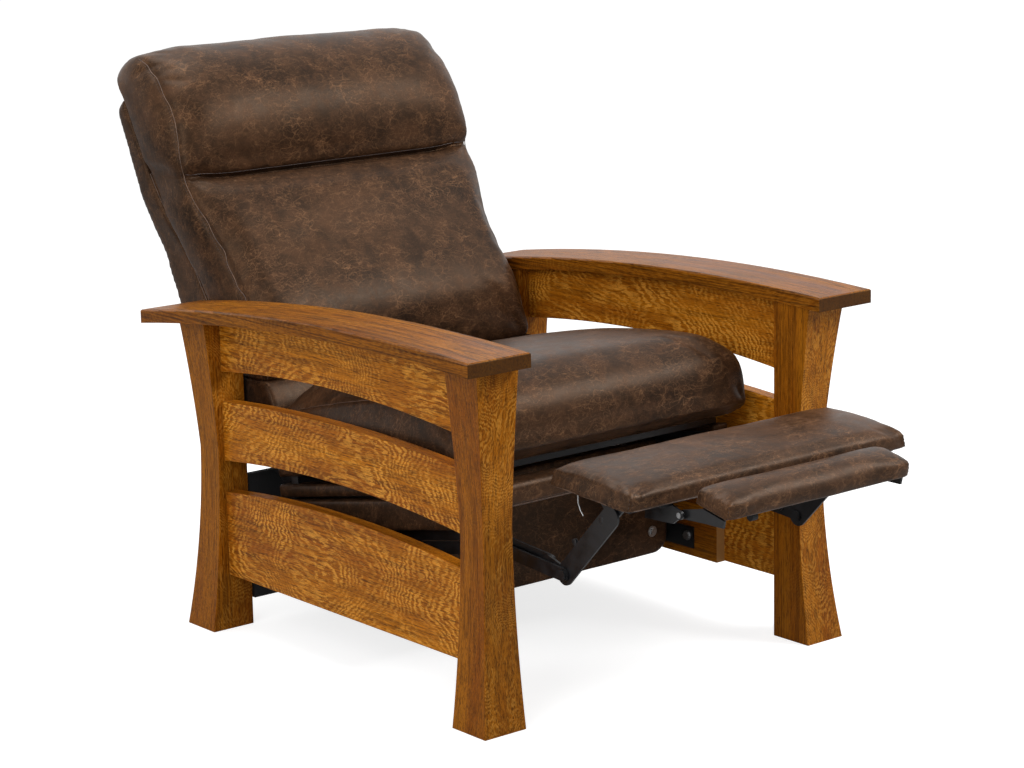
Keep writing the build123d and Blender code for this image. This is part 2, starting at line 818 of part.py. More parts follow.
# Side outline of the seat cushion: shares of its length from the front edge
# and of its side height above the sloping bottom line
seat_front_low_share = (0.085, 0.0)
seat_front_low_mid_share = (0.03, 0.08)
seat_nose_share = (0.0, 0.36)
seat_front_high_mid_share = (0.012, 0.76)
seat_front_high_share = (0.10, 0.94)
seat_top_mid_share = (0.50, 1.07)
seat_top_rear_share = (0.895, 0.99)
seat_heel_mid_share = (0.975, 0.96)
seat_heel_share = (1.0, 0.80)
seat_back_mid_share = (0.992, 0.5)
seat_back_low_share = (1.0, 0.12)
seat_nose_crown_share = 0.25
seat_low_crown_share = 0.125
seat_front_mid_crown_share = 0.35
seat_front_crown_share = 0.7
seat_top_crown_share = 1.1
seat_heel_crown_share = 0.75
seat_back_crown_share = 0.25


def seat_section(crown_share, inset_share):
    """One side outline of the seat cushion, on the (y, z) plane."""
    length = seat_rear_y - seat_front_y
    crown = seat_crown * crown_share
    inset = seat_seam_inset * inset_share
    base = spring_bar_height + cushion_gap

    def at(shares, lift, push=0):
        y = seat_front_y + shares[0] * length + push
        slope_height = seat_line_height + (base - y * slope_sin) / slope_cos
        return (y, slope_height + shares[1] * seat_side_height + lift)

    low = at(seat_front_low_share, 0, inset)
    nose = at(seat_nose_share, 0, inset - crown * seat_nose_crown_share)
    high = at(seat_front_high_share, crown * seat_front_crown_share - inset)
    top = at(seat_top_rear_share, crown - inset)
    heel = at(seat_heel_share, crown * seat_back_crown_share)
    foot = at(seat_back_low_share, 0)
    low_mid = at(seat_front_low_mid_share, 0, inset - crown * seat_low_crown_share)
    high_mid = at(seat_front_high_mid_share, crown * seat_front_mid_crown_share - inset, inset)
    edges = [
        ThreePointArc(low, low_mid, nose),
        ThreePointArc(nose, high_mid, high),
        ThreePointArc(high, at(seat_top_mid_share, crown * seat_top_crown_share - inset), top),
        ThreePointArc(top, at(seat_heel_mid_share, crown * seat_heel_crown_share - inset), heel),
        ThreePointArc(heel, at(seat_back_mid_share, 0), foot),
        Line(foot, at((seat_back_low_share[0], 0), 0)),
        Line(at((seat_back_low_share[0], 0), 0), low),
    ]
    return make_face(edges)


def seat_cushion():
    """Deep cushion with a rolled front, a crowned top and drawn-in ends."""
    sections = []
    shares = zip(seat_section_shares, seat_crown_shares, seat_inset_shares)
    for place_share, crown_share, inset_share in shares:
        face = Plane.YZ * seat_section(crown_share, inset_share)
        sections.append(Pos(place_share * seat_half_width, 0, 0) * face)
    return loft(sections)


def back_point(reach, depth):
    """A (y, z) place from distances up the back and in front of its seam."""
    up = (sin(radians(back_tilt)), cos(radians(back_tilt)))
    y = back_seam_y + reach * up[0] - depth * up[1]
    z = back_seam_z + reach * up[1] + depth * up[0]
    return (y, z)


def back_half_width(z):
    """Half width of the back, wider above the arms than between them."""
    span = back_flare_end_z - back_flare_start_z
    share = min(max((z - back_flare_start_z) / span, 0), 1)
    ease = share * share * (3 - 2 * share)
    return back_lower_half_width + (back_upper_half_width - back_lower_half_width) * ease


def lumbar_section(station_share, thickness_share, crown_share):
    reach = station_share * lumbar_top_reach
    depth = lumbar_thickness * thickness_share
    crown = lumbar_crown * crown_share
    half = back_half_width(back_point(reach, depth)[1]) - lumbar_side_swell
    swell = half + lumbar_side_swell
    edges = [
        Line((-half, cushion_gap), (half, cushion_gap)),
        ThreePointArc((half, cushion_gap), (swell, depth / 2), (half, depth)),
        ThreePointArc((half, depth), (0, depth + crown), (-half, depth)),
        ThreePointArc((-half, depth), (-swell, depth / 2), (-half, cushion_gap)),
    ]
    up = (0, sin(radians(back_tilt)), cos(radians(back_tilt)))
    origin = (0, *back_point(reach, 0))
    return Plane(origin, x_dir=(-1, 0, 0), z_dir=up) * make_face(edges)


def lumbar_cushion():
    """Crowned lower back cushion that thins out at the crease under the headrest."""
    shares = zip(lumbar_station_shares, lumbar_thickness_shares, lumbar_crown_shares)
    pad = loft([lumbar_section(*row) for row in shares])
    half = back_upper_half_width + cut_overrun
    y_span = (0, back_rear_top_y)
    above = block((-half, half), y_span, (back_crease_z - cushion_gap, back_rear_top_z + headrest_height))
    heel = (back_heel_edge()[0], back_heel_edge()[1] + cushion_gap)
    below = block((-half, half), y_span, (back_pivot_z - back_heel_radius, heel[1]))
    return pad - above - below


def back_heel_edge():
    """Upper front end of the round heel, level with the lumbar seam."""
    rise = back_seam_z - back_pivot_z
    return (back_pivot_y - sqrt(back_heel_radius ** 2 - rise ** 2), back_seam_z)


def back_rear_y(z):
    """Y of the flat rear face at a height."""
    return back_rear_top_y - (back_rear_top_z - z) * tan(radians(back_rear_tilt))


def back_shell():
    """Leather-covered shell: flat rear, seam line in front, round heel below."""
    heel_top = back_heel_edge()
    drop = back_pivot_z - back_bottom_z
    heel_low = (back_pivot_y - sqrt(back_heel_radius ** 2 - drop ** 2), back_bottom_z)
    seam_top = back_point((back_crease_z - back_seam_z) / cos(radians(back_tilt)), 0)
    corner = (back_rear_top_y - back_rear_radius, back_rear_top_z + back_rear_corner_rise)
    rear_low = (back_rear_y(back_bottom_z), back_bottom_z)
    rear_high_z = back_rear_top_z - back_rear_radius
    rear_high = (back_rear_y(rear_high_z), rear_high_z)
    bulge = (back_rear_top_y - back_rear_radius * back_rear_bulge_share, back_rear_top_z)
    edges = [
        ThreePointArc(heel_top, (back_pivot_y - back_heel_radius, back_pivot_z), heel_low),
        Line(heel_low, rear_low),
        Line(rear_low, rear_high),
        ThreePointArc(rear_high, bulge, corner),
        Line(corner, (back_notch_y, back_notch_z)),
        Line((back_notch_y, back_notch_z), seam_top),
        Line(seam_top, (back_seam_y, back_seam_z)),
        Line((back_seam_y, back_seam_z), heel_top),
    ]
    wide = back_upper_half_width
    shell = slab(make_face(edges), 1, -wide, wide) & back_width_limit()
    for side, _ in SIDES:
        x_span = (side * back_channel_inner, side * back_channel_outer)
        y_span = (back_pivot_y - back_heel_radius - cut_overrun, back_rear_top_y)
        top = back_pivot_z + back_channel_rise
        shell -= block(x_span, y_span, (back_bottom_z - cut_overrun, top))
    return shell


def back_width_limit():
    """Front view of the back's width, narrow between the arms, wide above."""
    low, high = back_lower_half_width, back_upper_half_width
    bottom = back_bottom_z - cut_overrun
    top = back_notch_z + cut_overrun
    start, end = back_flare_start_z, back_flare_end_z
    corners = ((-low, bottom), (low, bottom), (low, start), (high, end), (high, top),
               (-high, top), (-high, end), (-low, start))
    face = make_face(Polyline(*corners, close=True))
    place = Plane((0, back_rear_top_y + cut_overrun, 0), x_dir=(1, 0, 0), z_dir=(0, -1, 0))
    return extrude(place * face, amount=back_rear_top_y + cut_overrun)


def headrest_section(crown_share):
    """One side outline of the headrest, from the crease over the top to the notch."""
    crown = headrest_crown * crown_share
    seam = headrest_seam_depth * max(crown_share, 0)
    front_y = back_point((back_crease_z - back_seam_z) / cos(radians(back_tilt)), 0)[0]
    front_y -= lumbar_thickness / cos(radians(back_tilt)) - cushion_gap
    base = back_crease_z + cushion_gap
    start = (front_y + seam, base)
    places = []
    for shares, push in zip(headrest_outline_shares, headrest_push_shares):
        y = front_y + shares[0] * headrest_depth + push[0] * crown
        z = base + shares[1] * headrest_height + push[1] * crown
        places.append((y, z))
    notch = (back_notch_y, back_notch_z + cushion_gap)
    seam_top = back_point((back_crease_z - back_seam_z) / cos(radians(back_tilt)), 0)
    inner = (seam_top[0] - cushion_gap, base)
    edges = [
        ThreePointArc(start, places[0], places[1]),
        ThreePointArc(places[1], places[2], places[3]),
        ThreePointArc(places[3], places[4], places[5]),
        ThreePointArc(places[5], places[6], notch),
        Line(notch, inner),
        Line(inner, start),
    ]
    return make_face(edges)


def headrest_cushion():
    """Rolled headrest, crowned along its width and drawn in at both ends."""
    sections = []
    for place_share, crown_share in zip(headrest_section_shares, headrest_crown_shares):
        face = Plane.YZ * headrest_section(crown_share)
        sections.append(Pos(place_share * back_upper_half_width, 0, 0) * face)
    return loft(sections)


def back_bracket(side):
    """Steel bracket from the back pivot up to the shell's channel ceiling."""
    outer = carriage_inner - back_bracket_gap
    inner = outer - back_bracket_thickness
    ceiling = back_pivot_z + back_channel_rise
    half = back_bracket_width / 2
    y_span = (back_pivot_y - half, back_pivot_y + half)
    front, rear = y_span
    web = outline([(front, back_pivot_z), (rear, back_pivot_z), (rear, ceiling), (front, ceiling)])
    web += disc(back_pivot, half)
    web -= disc(back_pivot, back_pin_radius + pin_clearance)
    long_y = (back_pivot_y - back_flange_half_length, back_pivot_y + back_flange_half_length)
    flange_x = (side * inner, side * (inner + back_flange_width))
    flange = block(flange_x, long_y, (ceiling - steel_thickness, ceiling))
    return slab(web, side, inner, outer) + flange


def footrest_point(forward, up):
    """A (y, z) place from the footrest's rear lower edge."""
    c, s = cos(radians(footrest_tilt)), sin(radians(footrest_tilt))
    return (footrest_rear_y - forward * c + up * -s, footrest_rear_z - forward * s + up * c)


def flip_point(forward, up):
    """A (y, z) place from the flip-out panel's rear lower edge."""
    c, s = cos(radians(flip_tilt)), sin(radians(flip_tilt))
    return (flip_rear_y - forward * c + up * -s, flip_rear_z - forward * s + up * c)


def pad(point, length, edge_height, half_width, end_crown, crown):
    """A boxed pad with a pillow-like top, lofted across its width."""
    sections = []
    for place_share, crown_share in zip(footrest_section_shares, footrest_crown_shares):
        rise = end_crown + (crown - end_crown) * crown_share
        draw = footrest_corner_draw * (1 - crown_share) if abs(place_share) == 1 else 0
        edges = [
            Line(point(draw, 0), point(length - draw, 0)),
            Line(point(length - draw, 0), point(length - draw, edge_height)),
            ThreePointArc(point(length - draw, edge_height), point(length / 2, edge_height + rise),
                          point(draw, edge_height)),
            Line(point(draw, edge_height), point(draw, 0)),
        ]
        face = Plane.YZ * make_face(edges)
        sections.append(Pos(place_share * half_width, 0, 0) * face)
    return loft(sections)


def footrest_pad():
    return pad(footrest_point, footrest_length, footrest_edge_height, footrest_half_width,
               footrest_end_crown, footrest_crown)


def flip_pad():
    return pad(flip_point, flip_length, flip_edge_height, flip_half_width, flip_end_crown, flip_crown)


def under_board(point, length, half_width, inset, thickness):
    corners = [(inset, 0), (length - inset, 0), (length - inset, -thickness), (inset, -thickness)]
    face = outline([point(*corner) for corner in corners])
    half = half_width - inset
    return slab(face, 1, -half, half)


def footrest_underboard():
    return under_board(footrest_point, footrest_length, footrest_half_width, underboard_inset,
                       underboard_thickness)


def flip_underboard():
    return under_board(flip_point, flip_length, flip_half_width, flip_board_inset, flip_board_thickness)


def main_link(side):
    face = strap(seat_pivot, knee, link_width)
    face -= disc(seat_pivot, pin_radius + pin_clearance)
    face -= disc(knee, pin_radius)
    return slab(face, side, layer_a - link_thickness, layer_a)


def control_link(side):
    face = strap(control_seat_pivot, control_knee, link_width)
    face -= disc(control_seat_pivot, pin_radius + pin_clearance)
    face -= disc(control_knee, pin_radius + pin_clearance)
    return slab(face, side, layer_c - link_thickness, layer_c)


def wide_link(side):
    """Broad link from the knee up to the footrest, with a lug for its control link."""
    face = strap(knee, ankle, wide_link_width)
    face += strap(knee, control_knee, link_width)
    face -= disc(knee, pin_radius + pin_clearance)
    face -= disc(control_knee, pin_radius)
    face -= disc(ankle, pin_radius)
    return slab(face, side, layer_b - link_thickness, layer_b)


def knee_pins():
    pins = []
    for side, _ in SIDES:
        inner = layer_b - link_thickness
        pin = rod(knee, pin_radius, side, inner - layer_gap, layer_a)
        outer_head = rod(knee, pin_head_radius, side, layer_a, layer_a + pin_head_height)
        inner_end = inner - layer_gap
        inner_head = rod(knee, pin_head_radius, side, inner_end - pin_head_height, inner_end)
        pins.append(pin + outer_head + inner_head)
    return Compound(pins)


def wide_link_pins():
    """Pins that the wide links carry for the control links and the footrest."""
    pins = []
    for side, _ in SIDES:
        for place in (control_knee, ankle):
            inner = layer_c - link_thickness - pin_clearance
            pin = rod(place, pin_radius, side, inner, layer_b)
            head = rod(place, pin_head_radius, side, inner - pin_head_height, inner)
            pins.append(pin + head)
    return Compound(pins)


def footrest_bracket(side):
    """Angle bracket under the footrest with an ear for the wide link."""
    along = (ankle[0] - footrest_rear_y) * -1
    low = -underboard_thickness
    corners = ((along - bracket_half_length, low), (along + bracket_half_length, low))
    top = [footrest_point(*corner) for corner in corners]
    ear = link_width / 2
    web = outline([top[0], top[1], (ankle[0] - ear, ankle[1]), (ankle[0] + ear, ankle[1])])
    web += disc(ankle, ear)
    web -= disc(ankle, pin_radius + pin_clearance)
    flange_face = outline([footrest_point(along - bracket_half_length, low),
                           footrest_point(along + bracket_half_length, low),
                           footrest_point(along + bracket_half_length, low - steel_thickness),
                           footrest_point(along - bracket_half_length, low - steel_thickness)])
    inner = layer_c - link_thickness
    flange = slab(flange_face, side, layer_c - bracket_flange_width, layer_c)
    return slab(web, side, inner, layer_c) + flange


def flip_hinge_arms():
    """Two deep arms under the footrest's front edge that carry the flip-out panel."""
    hinge = (flip_hinge_y, flip_hinge_z)
    low = -underboard_thickness
    front = footrest_length - underboard_inset
    rear = front - flip_arm_length
    parts = []
    for side, _ in SIDES:
        corners = [footrest_point(rear, low), footrest_point(front, low),
                   add(hinge, (0, flip_ear_radius)), add(hinge, (-flip_ear_radius, 0)),
                   footrest_point(front + flip_arm_front_reach, low - flip_arm_front_drop),
                   footrest_point(rear, low - flip_arm_rear_drop)]
        web = outline(corners) + disc(hinge, flip_ear_radius)
        web -= disc(hinge, flip_pin_radius)
        flange = outline([footrest_point(rear, low), footrest_point(front, low),
                          footrest_point(front, low - steel_thickness),
                          footrest_point(rear, low - steel_thickness)])
        outer = flip_arm_inner + flip_arm_thickness
        arm_solid = slab(web, side, flip_arm_inner, outer)
        arm_solid += slab(flange, side, flip_arm_inner, flip_arm_inner + flip_arm_flange_width)
        parts.append(arm_solid)
    return Compound(parts)


def flip_pins():
    hinge = (flip_hinge_y, flip_hinge_z)
    pins = []
    for side, _ in SIDES:
        inner = flip_arm_inner - flip_bracket_gap - flip_arm_thickness
        outer = flip_arm_inner + flip_arm_thickness
        pin = rod(hinge, flip_pin_radius, side, inner, outer)
        head = rod(hinge, flip_pin_head_radius, side, outer, outer + flip_pin_head_height)
        pins.append(pin + head)
    return Compound(pins)


def flip_bracket(side):
    """Bent flat bar from the hinge to the underside of the flip-out panel."""
    hinge = (flip_hinge_y, flip_hinge_z)
    low = -flip_board_thickness
    rear = flip_board_inset
    front = flip_bracket_front
    web = outline([flip_point(0, low - flip_bracket_notch_drop),
                   flip_point(rear, low), flip_point(front, low),
                   flip_point(front, low - flip_bracket_front_height),
                   flip_point(flip_bracket_bend, low - flip_bracket_height),
                   add(hinge, (0, -flip_ear_radius)), add(hinge, (0, flip_ear_radius))])
    web += disc(hinge, flip_ear_radius)
    web -= disc(hinge, flip_pin_radius + pin_clearance)
    outer = flip_arm_inner - flip_bracket_gap
    inner = outer - flip_arm_thickness
    flange_front = flip_length - flip_board_inset
    flange_face = outline([flip_point(rear, low), flip_point(flange_front, low),
                           flip_point(flange_front, low - steel_thickness),
                           flip_point(rear, low - steel_thickness)])
    flange = slab(flange_face, side, outer - flip_bracket_flange, outer)
    return slab(web, side, inner, outer) + flange


def flip_bumper():
    """Round rubber bumper on a short arm under the flip-out panel."""
    low = -flip_board_thickness
    centre = flip_point(flip_bumper_forward, low - flip_bumper_drop)
    rear = flip_bumper_forward - flip_bumper_arm_length
    arm_face = outline([flip_point(rear, low), flip_point(rear + flip_bumper_arm_height, low),
                        centre, add(centre, (0, -flip_bumper_arm_foot)),
                        flip_point(rear, low - flip_bumper_arm_height)])
    half = flip_bumper_arm_width / 2
    arm_solid = slab(arm_face, 1, flip_bumper_x - half, flip_bumper_x + half)
    half = flip_bumper_width / 2
    return arm_solid + slab(disc(centre, flip_bumper_radius), 1, flip_bumper_x - half, flip_bumper_x + half)


def trimmed_front(solid):
    """Cut a seat-box piece off at the rear face of the front rail."""
    half = seat_rail_half_width + cut_overrun
    ahead = block((-half, half), (front_rail_rear_y - leg_inner_half_depth, front_rail_rear_y),
                  (0, front_rail_top + seat_side_height))
    return solid - ahead


def build():
    parts = {}
    for side, name in SIDES:
        for end, place in ((-1, "front"), (1, "rear")):
            parts[f"leg_{place}_{name}"] = leg(side, end)
        parts[f"arm_{name}"] = arm(side)
        parts[f"arm_apron_{name}"] = arm_apron(side)
        parts[f"side_slat_{name}"] = side_slat(side)
        parts[f"side_panel_{name}"] = side_panel(side)
        parts[f"mounting_cleat_{name}"] = mounting_cleat(side)
        parts[f"base_rail_{name}"] = base_rail(side)
        parts[f"carriage_plate_{name}"] = carriage_plate(side)
        parts[f"seat_rail_{name}"] = trimmed_front(seat_rail(side))
        parts[f"seat_skirt_{name}"] = trimmed_front(seat_skirt(side))
        parts[f"back_bracket_{name}"] = back_bracket(side)
        parts[f"main_link_{name}"] = main_link(side)
        parts[f"control_link_{name}"] = control_link(side)
        parts[f"wide_link_{name}"] = wide_link(side)
        parts[f"footrest_bracket_{name}"] = footrest_bracket(side)
        parts[f"flip_bracket_{name}"] = flip_bracket(side)
    parts["base_tube_front"] = base_tube(base_tube_front)
    parts["base_tube_rear"] = base_tube(base_tube_rear)
    parts["base_bolts"] = base_bolts()
    parts["rear_cover"] = rear_cover()
    parts["glide_rollers"] = glide_rollers()
    parts["seat_front_rail"] = seat_front_rail()
    parts["seat_rear_rail"] = seat_rear_rail()
    parts["spring_bars"] = spring_bars()
    parts["seat_springs"] = seat_springs()
    parts["seat_cross_tube"] = seat_cross_tube()
    parts["seat_pins"] = seat_pins()
    parts["fascia"] = fascia()
    parts["fascia_bolts"] = fascia_bolts()
    parts["seat_cushion"] = seat_cushion()
    parts["lumbar_cushion"] = lumbar_cushion()
    parts["headrest_cushion"] = headrest_cushion()
    parts["back_shell"] = back_shell()
    parts["knee_pins"] = knee_pins()
    parts["wide_link_pins"] = wide_link_pins()
    parts["footrest_pad"] = footrest_pad()
    parts["footrest_underboard"] = footrest_underboard()
    parts["flip_hinge_arms"] = flip_hinge_arms()
    parts["flip_pins"] = flip_pins()
    parts["flip_pad"] = flip_pad()
    parts["flip_underboard"] = flip_underboard()
    parts["flip_bumper"] = flip_bumper()
    return parts


def centre_shift(parts):
    """Distance along Y that brings the middle of the whole chair to zero."""
    boxes = [part.bounding_box() for part in parts.values()]
    front = min(box.min.Y for box in boxes)
    rear = max(box.max.Y for box in boxes)
    return -(front + rear) / 2


def main():
    parts = build()
    shift = centre_shift(parts)
    print("shift along Y", round(shift, 3), "nodes", len(parts))
    pivots = (("seat", seat_pivot), ("control", control_seat_pivot), ("knee", knee),
              ("control knee", control_knee), ("ankle", ankle), ("back", back_pivot),
              ("flip", (flip_hinge_y, flip_hinge_z)))
    for name, place in pivots:
        print("pivot", name, round(place[0] + shift, 3), round(place[1], 3))
    os.makedirs("parts", exist_ok=True)
    for node, part in parts.items():
        export_step(Pos(0, shift, 0) * part, f"parts/{node}.step")


main()
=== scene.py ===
import json
import math

import bmesh
import bpy
from bpy.props import FloatProperty, FloatVectorProperty, PointerProperty
from mathutils import Matrix, Vector, kdtree, noise


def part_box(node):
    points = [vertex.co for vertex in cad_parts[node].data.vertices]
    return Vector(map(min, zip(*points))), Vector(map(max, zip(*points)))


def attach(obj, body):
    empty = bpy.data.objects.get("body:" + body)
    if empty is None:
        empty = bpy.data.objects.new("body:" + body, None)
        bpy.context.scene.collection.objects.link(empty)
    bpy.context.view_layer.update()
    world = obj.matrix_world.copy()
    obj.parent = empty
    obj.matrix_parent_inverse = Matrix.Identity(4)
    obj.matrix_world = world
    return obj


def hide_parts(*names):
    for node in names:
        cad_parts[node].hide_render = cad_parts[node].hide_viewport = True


bl_info = {
    "name": "Reclining Armchair",
    "version": (1, 0, 0),
    "blender": (4, 5, 0),
    "location": "View3D > Sidebar > Armchair",
    "description": "Oak and leather armchair with a folding footrest, dressed around its frame",
    "category": "Object",
}

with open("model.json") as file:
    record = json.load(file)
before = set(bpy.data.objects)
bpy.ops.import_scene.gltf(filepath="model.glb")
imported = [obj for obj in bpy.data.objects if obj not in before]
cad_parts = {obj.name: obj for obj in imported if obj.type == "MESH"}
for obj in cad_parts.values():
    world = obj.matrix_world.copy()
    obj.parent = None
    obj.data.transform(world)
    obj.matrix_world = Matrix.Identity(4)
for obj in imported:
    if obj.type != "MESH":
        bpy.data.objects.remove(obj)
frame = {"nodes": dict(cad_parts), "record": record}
NODES = frame["nodes"]
BODY_OF = {n: b for b, ns in frame["record"]["behaviour"]["bodies"].items() for n in ns}
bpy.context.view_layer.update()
MM = 0.001
SIDES = ("left", "right")


def mid_legs():
    """Y of the plane midway between the front and the rear legs."""
    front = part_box("leg_front_left")[1][1]
    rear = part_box("leg_rear_left")[0][1]
    return (front + rear) / 2


SHIFT = mid_legs()


def linear(hex_colour):
    """An sRGB hex colour as linear RGBA."""
    parts = [int(hex_colour[i:i + 2], 16) / 255 for i in (1, 3, 5)]
    return tuple(c / 12.92 if c <= 0.04045 else ((c + 0.055) / 1.055) ** 2.4 for c in parts) + (1.0,)


class OakSizes(bpy.types.PropertyGroup):
    edge: FloatProperty(name="Eased edge", description="Width of the eased edges of legs and boards",
                        default=0.0014, unit="LENGTH")
    light: FloatVectorProperty(name="Light oak", description="Stained oak between the pores",
                               default=linear("#B16C14")[:3], size=3, subtype="COLOR")
    middle: FloatVectorProperty(name="Middle oak", description="Main stain colour",
                                default=linear("#8C4B0C")[:3], size=3, subtype="COLOR")
    dark: FloatVectorProperty(name="Dark oak", description="Pores and late wood",
                              default=linear("#421F04")[:3], size=3, subtype="COLOR")
    fleck: FloatVectorProperty(name="Ray fleck", description="Bright figure of the quarter-sawn faces",
                               default=linear("#D8963A")[:3], size=3, subtype="COLOR")
    fleck_step: FloatProperty(name="Fleck step", description="Usual distance from one ray fleck to the next",
                              default=0.0085, unit="LENGTH")


class LeatherSizes(bpy.types.PropertyGroup):
    base: FloatVectorProperty(name="Leather", description="Main colour of the leather",
                              default=linear("#302015")[:3], size=3, subtype="COLOR")
    worn: FloatVectorProperty(name="Worn leather", description="Rubbed and scratched places",
                              default=linear("#503523")[:3], size=3, subtype="COLOR")
    deep: FloatVectorProperty(name="Deep leather", description="Dark mottling",
                              default=linear("#1A100B")[:3], size=3, subtype="COLOR")
    shrink: FloatProperty(name="Cut size", description="How much smaller a cover is cut than its cushion",
                          default=0.0005, unit="LENGTH")
    swell: FloatProperty(name="Swell", description="Furthest that the filling pushes a cushion's cover out",
                         default=0.014, unit="LENGTH")
    pad_shrink: FloatProperty(name="Pad cut size", description="How much smaller a pad's cover is cut",
                              default=0.0005, unit="LENGTH")
    pad_swell: FloatProperty(name="Pad swell", description="Furthest that filling pushes a pad's cover out",
                             default=0.005, unit="LENGTH")


class SewingSizes(bpy.types.PropertyGroup):
    pitch: FloatProperty(name="Stitch pitch", description="From one stitch to the next", default=0.0055,
                         unit="LENGTH")
    length: FloatProperty(name="Stitch length", description="Length of one stitch", default=0.0040,
                          unit="LENGTH")
    thread: FloatProperty(name="Thread radius", description="Half the thickness of the thread",
                          default=0.00045, unit="LENGTH")
    seam: FloatProperty(name="Seam radius", description="Half the thickness of a turned seam", default=0.0009,
                        unit="LENGTH")


class RivetSizes(bpy.types.PropertyGroup):
    radius: FloatProperty(name="Rivet radius", description="Half the width of a rivet head", default=0.0055,
                          unit="LENGTH")
    height: FloatProperty(name="Rivet height", description="How far a rivet head stands up", default=0.0007,
                          unit="LENGTH")


def add(tree, kind, inputs=None, **settings):
    """Adds a shader or geometry node, sets it up and links or fills its inputs."""
    made = tree.nodes.new(kind)
    for key, value in settings.items():
        setattr(made, key, value)
    for key, value in (inputs or {}).items():
        socket = made.inputs[key]
        if isinstance(value, bpy.types.NodeSocket):
            tree.links.new(value, socket)
        else:
            socket.default_value = value
    return made


def ramp(tree, fac, stops, interpolation="LINEAR"):
    """A colour ramp through (position, colour) stops."""
    made = add(tree, "ShaderNodeValToRGB", {0: fac})
    made.color_ramp.interpolation = interpolation
    elements = made.color_ramp.elements
    while len(elements) < len(stops):
        elements.new(0.5)
    for element, (place, colour) in zip(elements, stops):
        element.position = place
        element.color = colour if len(colour) == 4 else (*colour, 1.0)
    return made.outputs["Color"]


def grey(value):
    return (value, value, value, 1.0)


def material(name):
    made = bpy.data.materials.new(name)
    made.use_nodes = True
    made.node_tree.nodes.clear()
    return made, made.node_tree


def finish_material(tree, shader):
    add(tree, "ShaderNodeOutputMaterial", {"Surface": shader.outputs[0]})


def coated(made, tree, colour, roughness, relief=None, extra=None):
    """Ends a material in one shader with its colour, roughness, relief and whatever else it has."""
    inputs = {"Base Color": colour, "Roughness": roughness, **(extra or {})}
    if relief is not None:
        inputs["Normal"] = relief.outputs[0]
    finish_material(tree, add(tree, "ShaderNodeBsdfPrincipled", inputs))
    return made


def mixed(tree, fac, a, b, blend="MIX"):
    made = add(tree, "ShaderNodeMix", data_type="RGBA", blend_type=blend, clamp_factor=True)
    for socket, value in ((made.inputs[0], fac), (made.inputs[6], a), (made.inputs[7], b)):
        if isinstance(value, bpy.types.NodeSocket):
            tree.links.new(value, socket)
        else:
            socket.default_value = value
    return made.outputs[2]


